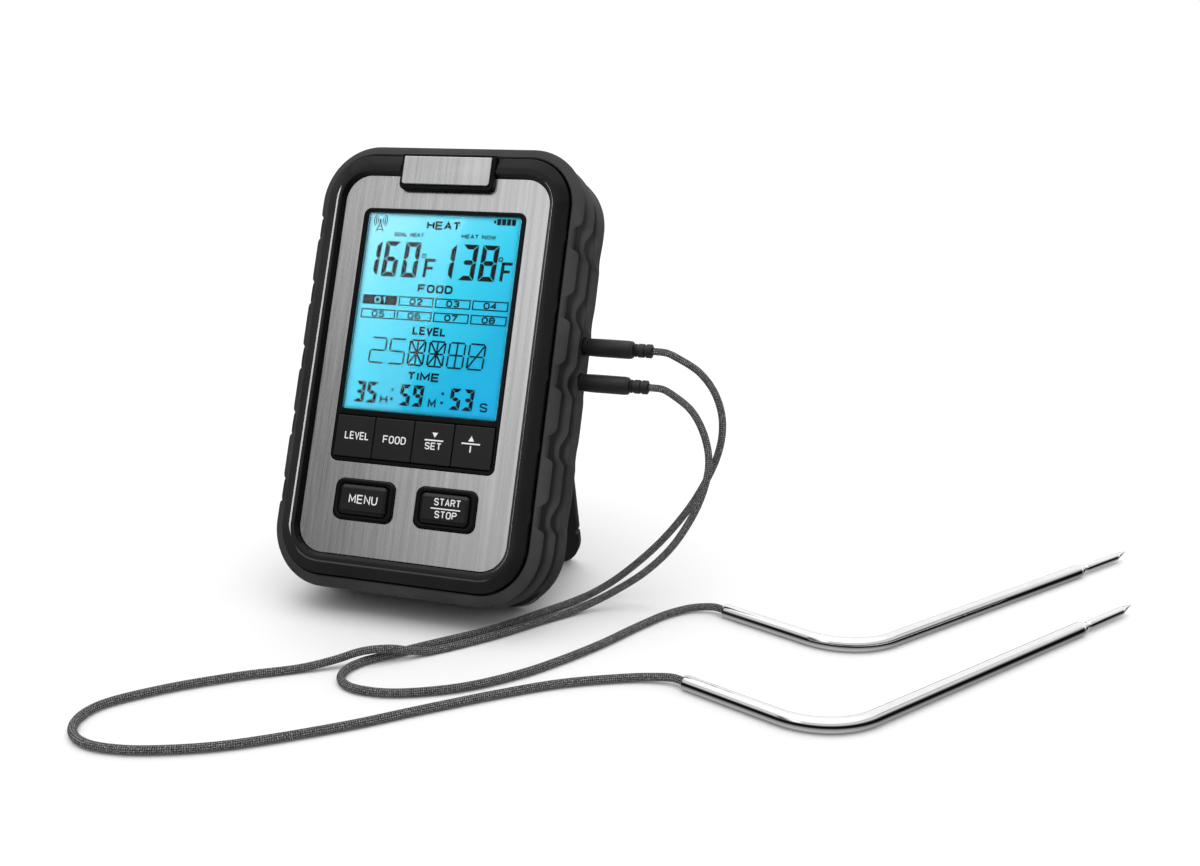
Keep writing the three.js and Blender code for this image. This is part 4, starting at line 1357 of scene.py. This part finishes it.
def temperature(marks, digits, places, degree_x):
    """Three tall digits at places of (left, width), and a small degree sign and F."""
    for digit, (left, width) in zip(digits, places):
        seven_segment(marks, digit, left, 84.1, width, 10.9, 1.45)
    arc(marks, degree_x, 90.9, 0.75, 0, 359, 0.34, 14)
    foot = Vector((degree_x + 0.75, 84.4))
    lean = Vector((0.04, 1))
    marks.line([foot, foot + lean * 5.7], 0.95)
    marks.line([foot + lean * 5.3, foot + lean * 5.3 + Vector((2.9, 0))], 0.9)
    marks.line([foot + lean * 2.9, foot + lean * 2.9 + Vector((2.4, 0))], 0.85)


def food_boxes(marks):
    """Two rows of four numbered boxes. The first is a solid block with its number left clear."""
    for row, (bottom, top) in enumerate(((75.4, 78.3), (71.1, 74.0))):
        for column in range(4):
            left = -23.2 + 11.9 * column
            right = left + 11.3
            middle = (left + right) / 2, (bottom + top) / 2
            number = f"0{row * 4 + column + 1}"
            if number == "01":
                marks.box(left, right, bottom, top)
                clear = Print(-0.93, -0.89)
                clear.text(number, *middle, 2.0, 3.6, 0.38)
                settle(clear.finish("chosen_number", LIT_SCREEN), "housing", "lit_display")
                continue
            marks.outline(left, right, bottom, top, 0.36)
            marks.text(number, *middle, 2.0, 4.2, 0.45)


def timer(marks):
    for digits, lefts in (("35", (-21.8, -17.8)), ("59", (-6.9, -2.8)), ("53", (9.2, 13.2))):
        for digit, left in zip(digits, lefts):
            seven_segment(marks, digit, left, 45.5, 3.4, 6.4, 1.15)
    for letter, x in (("H", -11.8), ("M", 3.8), ("S", 20.2)):
        marks.text(letter, x, 46.9, 2.7, 2.5, 0.5)
    for x in (-9.3, 6.9):
        for y in (47.3, 50.0):
            marks.box(x - 0.4, x + 0.4, y - 0.4, y + 0.4)


# ---------------------------------------------------------------- grip and back

def grip_crests(grip):
    """Depths of the three rib crests, which jump forward together in a finger notch."""
    notch = notch_depth(grip)
    return min(-3.2 + 4.0 * notch, -1.0), -13.8 + 5.6 * notch, -23.6 + 3.4 * notch


def grip_surface(depth, grip):
    """The grip's outward reach at a depth behind the face, and how much painted shade its colour gets
    there.
    """
    crests = grip_crests(grip)
    notch = notch_depth(grip)
    top = SIDE - 0.1 - 0.3 * notch
    drop = RIB_DROP * (1 - 0.45 * notch)
    floor = top - drop

    def lip(at):
        return 6.5 + (top - 6.5) * math.sin(math.pi / 2 * min(max((-0.6 - at) / 2.6, 0), 1))

    if depth >= crests[0]:
        return lip(depth), 0.0
    ledge = lip(crests[0])
    for front, back in zip(crests, crests[1:]):
        if depth >= front - RIB_STEP:
            fallen = smooth((front - depth) / RIB_STEP)
            return ledge + (floor - ledge) * fallen, fallen
        if depth >= back:
            travel = (front - RIB_STEP - depth) / (front - RIB_STEP - back)
            rise = min(max((travel - 0.34) / 0.66, 0), 1)
            return floor + drop * rise ** 1.15, 1 - smooth(rise * 1.6)
        ledge = top
    return top, 0.0


def spread(start, end, count):
    """count depths from start up to but not including end."""
    return [start + (end - start) * i / count for i in range(count)]


def grip_outline(depths, grip):
    """The grip's outer surface at each depth, as ring takes it."""
    outer = []
    for depth in depths:
        reach, valley_shade = grip_surface(depth, grip)
        outer.append((reach, depth, valley_shade))
    return outer


def grip_sleeve():
    def section(grip):
        crest_0, crest_1, _ = grip_crests(grip)
        depths = [
            *spread(-0.7, crest_0, 8), *spread(crest_0, crest_0 - RIB_STEP, 6),
            *spread(crest_0 - RIB_STEP, crest_1, 16), *spread(crest_1, crest_1 - RIB_STEP, 6),
            *spread(crest_1 - RIB_STEP, -18.2, 8), -18.2,
        ]
        return [*grip_outline(depths, grip), (7.0, -18.2), (7.0, -5.7), (6.35, -5.7), (6.35, -0.9)]

    piece = ring("rubber_grip", section, GRIP_RUBBER)
    settle(piece, "housing", "grip_rubber", "grip_sleeve")
    return piece


def flap_loop(half, bottom, top, radius):
    """Square above and round below, as a function of inset."""
    return box_loop(-half, half, bottom, top, radius, 0.05, 12)


def room(loop, back, front, holes=(), place=UNIT):
    """A plain solid between two depths, for a cut or a union."""
    return slab("room", loop, holes, [(0, back), (0, front)], CASE_BLACK, place)


def block(left, right, bottom, top, back, front):
    return room(box_loop(left, right, bottom, top, 0.3, steps=3), back, front)


def case_screws():
    """Screw wells and bosses: plain cylinders that the shell is cut and built with."""
    wells, bosses = [], []
    for x, y in SCREWS:
        seat = RECESS_FLOOR if y < SCREW_SPLIT else BACK
        for radius, back, front, group in (
            (3.6, BACK + 1, -12.5, bosses), (1.5, seat - 1, -12, wells),
            (2.8, seat - 1, seat + 2.2, wells),
        ):
            disc = box_loop(x - radius, x + radius, y - radius, y + radius, radius)
            group.append(room(disc, back, front))
    return wells, bosses


def rear_shell():
    """The back of the case, cut for the stand, the battery door, the sockets and the screws."""
    def section(grip):
        crest = grip_crests(grip)[2]
        depths = [*spread(BAND_FRONT, crest, 10), *spread(crest, -25.2, 5)]
        outer = grip_outline(depths, grip)
        edge = outer[-1][0]
        rounding = [
            (edge - 0.1, -25.25), (edge - 0.3, -25.55), (edge - 0.65, -25.74), (edge - 1.1, BACK),
        ]
        return [*outer, *rounding, (3.0, BACK), (3.0, BAND_FRONT)]

    shell = ring("moulded_back", section, CASE_BLACK)
    left, right, bottom, top = RECESS
    wells, bosses = case_screws()
    cut_out(shell, [
        room(case_loop(3.4, 3.5), BACK, BACK + 1.8),
        room(case_loop(6.4, 6.8), BAND_FRONT - 0.4, -5.8, [case_loop(4.7, 5.0)]),
        room(flap_loop(right + 1, bottom - 1, top + 1, 10), BACK + 0.5, RECESS_FLOOR + 1.5),
        block(left - 1, right + 1, 47.7, top + 2, BACK + 0.5, -19.2),
        block(-28, 28, 82.4, 108.8, BACK + 0.5, -11.2),
        *bosses,
    ], "UNION")
    rooms = [
        room(flap_loop(right, bottom, top, 9), BACK - 1, RECESS_FLOOR),
        block(left, right, 48.7, top, BACK - 1, -20.6),
        block(*BAY, BACK - 1, -12.2),
        block(*BAY[:2], DOOR_FOOT, 135, BACK - 1, -23.7),
        *wells,
    ]
    for height in SOCKETS.values():
        place = UNIT @ Matrix.Translation((0, height * MM, PLUG_DEPTH * MM))
        rooms.append(lathe("plug_hole", [
            (0, 35.4), (1.9, 35.4), (1.9, 41.5), (2.7, 41.6), (2.7, 46), (0, 46),
        ], CASE_BLACK, place, 32))
    cut_out(shell, rooms)
    trim_below_floor(shell)
    even_faces(shell)
    settle(shell, "housing", "case_black", "rear_shell")
    return shell


def trim_below_floor(piece):
    """Cuts off what would reach below the table."""
    cut_out(piece, [room(box_loop(-60, 60, -60, 60, 1), -10, 0.02, [], IN_PLACE)])


def battery_door():
    """A flat sliding door with a thumb grip of raised chevrons."""
    outer = box_loop(-26.5, 26.5, DOOR_FOOT + GAP, PLATE_HEIGHT + ENDS - 0.3, 0.8, 4.5)
    door = slab("sliding_door", outer, [], edge_levels(BACK, -24, 0.2, 0.35), CASE_BLACK)
    chevrons = Print(BACK - 0.2, BACK + 0.2)
    for index in range(4):
        top = 88.5 - index * 1.9
        reach = 7.5 - index * 0.9
        chevrons.polygon([(-reach, top - 2.2), (0, top), (reach, top - 2.2), (reach, top - 3.1),
                          (0, top - 0.9), (-reach, top - 3.1)])
    grips = chevrons.finish("door_grips", CASE_BLACK)
    cut_out(door, [grips], "UNION")
    even_faces(door)
    settle(door, "battery_door", "case_black", "battery_door")


def stand():
    """The fold-out leg: a blade with a shallow panel, a side notch and a round hinge knuckle."""
    bottom = -61.2
    back = BACK - STAND_PIN[1]
    blade = slab("leg_blade", flap_loop(STAND_HALF, bottom, 1.2, 10.4), [],
                 edge_levels(back, back + STAND_THICKNESS, 0.5, 0.5), SHADED_STAND_BLACK, STAND)
    knuckle = lathe("leg_knuckle", [
        (0, -STAND_HALF), (2.0, -STAND_HALF), (KNUCKLE, 0.3 - STAND_HALF),
        (KNUCKLE, STAND_HALF - 0.3), (2.0, STAND_HALF), (0, STAND_HALF),
    ], SHADED_STAND_BLACK, STAND, 40)
    cut_out(blade, [knuckle], "UNION")
    panel = slab("leg_panel", flap_loop(30, bottom + 10, -8, 6), [],
                 [(-0.5, back - 1), (0, back + 0.5), (0.5, back + 0.9)], SHADED_STAND_BLACK, STAND)
    notch = lathe("leg_notch", [(0, -3), (0.8, -3), (0.8, 3), (0, 3)], SHADED_STAND_BLACK,
                  STAND @ Matrix.Translation((STAND_HALF * MM, -47 * MM, 0.5 * MM))
                  @ Matrix.Rotation(math.pi / 2, 4, "Y"), 20)
    bore = lathe("leg_bore", [(0, -40), (1.3, -40), (1.3, 40), (0, 40)], SHADED_STAND_BLACK, STAND, 24)
    cut_out(blade, [panel, notch, bore])
    trim_below_floor(blade)
    even_faces(blade)
    settle(blade, "stand", "case_black", "stand")


# ---------------------------------------------------------------- inside

def batteries():
    half = CELL_LENGTH / 2
    for index, (height, side) in enumerate(zip(CELL_HEIGHTS, (-1, 1))):
        turn = Matrix.Rotation(math.pi if side < 0 else 0, 4, "Z")
        place = UNIT @ Matrix.Translation((0, height * MM, CELL_DEPTH * MM)) @ turn
        cell = lathe(f"cell_{index + 1}", [
            (0, -half), (4.4, -half), (4.7, -half + 0.3), (4.9, -half + 0.35), (5.15, -half + 0.5),
            (5.2, -half + 1), (5.2, half - 1.9), (5.1, half - 1.65), (4.6, half - 1.5),
            (2.2, half - 1.35), (1.9, half - 1.2), (1.85, half - 0.2), (1.65, half), (0, half),
        ], CELL_WRAP, place)
        settle(cell, "housing", "cell_wrap", f"battery_{index + 1}")
        contact_spring(index + 1, place, -half - GAP)


def contact_spring(number, place, tip):
    """A cone of wire behind the battery's flat end."""
    turns, wire = 3.4, 0.3 * MM
    path = []
    for step in range(90):
        t = step / 89
        angle = math.tau * turns * t
        radius = 3.1 - 1.5 * t
        spot = (tip - 2.3 + 2.0 * t, radius * math.cos(angle), radius * math.sin(angle))
        path.append(Vector(spot) * MM)
    spring = tube(f"wire_spring_{number}", path, [wire] * len(path), SPRING_STEEL, 10, place)
    settle(spring, "housing", "spring_steel", f"contact_spring_{number}")


def case_screw_heads():
    """Pan heads with a cross slot."""
    for index, (x, y) in enumerate(SCREWS):
        seat, long = (RECESS_FLOOR, 10.1) if y < SCREW_SPLIT else (BACK, 13.3)
        place = (
            UNIT @ Matrix.Translation((x * MM, y * MM, seat * MM))
            @ Matrix.Rotation(-math.pi / 2, 4, "Y")
        )
        screw = lathe(f"cross_screw_{index + 1}", [
            (0, 0.3), (1.4, 0.32), (2.1, 0.5), (2.4, 0.9), (2.4, 1.6), (2.2, 1.8), (1.2, 1.8),
            (1.2, 6), (1.2, long - 1.5), (0.9, long - 0.3), (0, long),
        ], SPRING_STEEL, place, 32)
        arms = []
        for turn in (0.4, 0.4 + math.pi / 2):
            arm = add_mesh("slot_arm", *box_points(0.0, 1.1, 1.4, 0.3), SPRING_STEEL,
                           place @ Matrix.Rotation(turn, 4, "X"))
            arms.append(arm)
        cut_out(screw, arms)
        settle(screw, "housing", "spring_steel", f"case_screw_{index + 1}")


def box_points(start, end, long, thin):
    points = [(x, y, z) for x in (start, end) for y in (-long, long) for z in (-thin, thin)]
    faces = [(0, 1, 3, 2), (4, 6, 7, 5), (0, 4, 5, 1), (2, 3, 7, 6), (0, 2, 6, 4), (1, 5, 7, 3)]
    return points, faces


def keep_cad_pieces():
    """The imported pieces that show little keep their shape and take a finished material."""
    looks = {
        "backlight": DIFFUSER, "contact_strip": SILICONE, "keypad_mat": SILICONE,
        "circuit_board": BOARD_GREEN, "buzzer": CASE_BLACK, "antenna_coil": SPRING_STEEL,
        "socket_upper": CASE_BLACK, "socket_lower": CASE_BLACK, "contact_plate_1": SPRING_STEEL,
        "contact_plate_2": SPRING_STEEL, "stand_pin": SPRING_STEEL,
    }
    for name, material in looks.items():
        piece = nodes[name]
        piece.data.materials.clear()
        piece.data.materials.append(material)
        if name in ("socket_upper", "socket_lower", "buzzer"):
            edge = piece.modifiers.new("soft_edges", "BEVEL")
            edge.width = 0.15 * MM
            edge.segments = 2
            edge.limit_method = "ANGLE"


# ---------------------------------------------------------------- assembly

ridge = bezel()
face_plate()
window_frame()
lens = screen()
screen_marks()
badge()
strip_keys()
framed_keys()
grip = grip_sleeve()
shell = rear_shell()
battery_door()
stand()
batteries()
case_screw_heads()
keep_cad_pieces()

add_area("side_key", (0.62, -1.0, 0.5), (0.04, 0, 0.07), 0.5, 0.4, 9, [grip, shell])
add_area("ridge_strip", (-0.71, -0.49, 0.4), (-0.036, 0, 0.07), 0.22, 0.5, 75, [ridge])
add_area("ridge_foot", (-0.38, -0.72, 0.05), (-0.03, 0, 0.05), 0.5, 0.12, 8, [ridge])
add_glare(lens)

scene.view_settings.view_transform = "Standard"
scene.view_settings.look = "None"
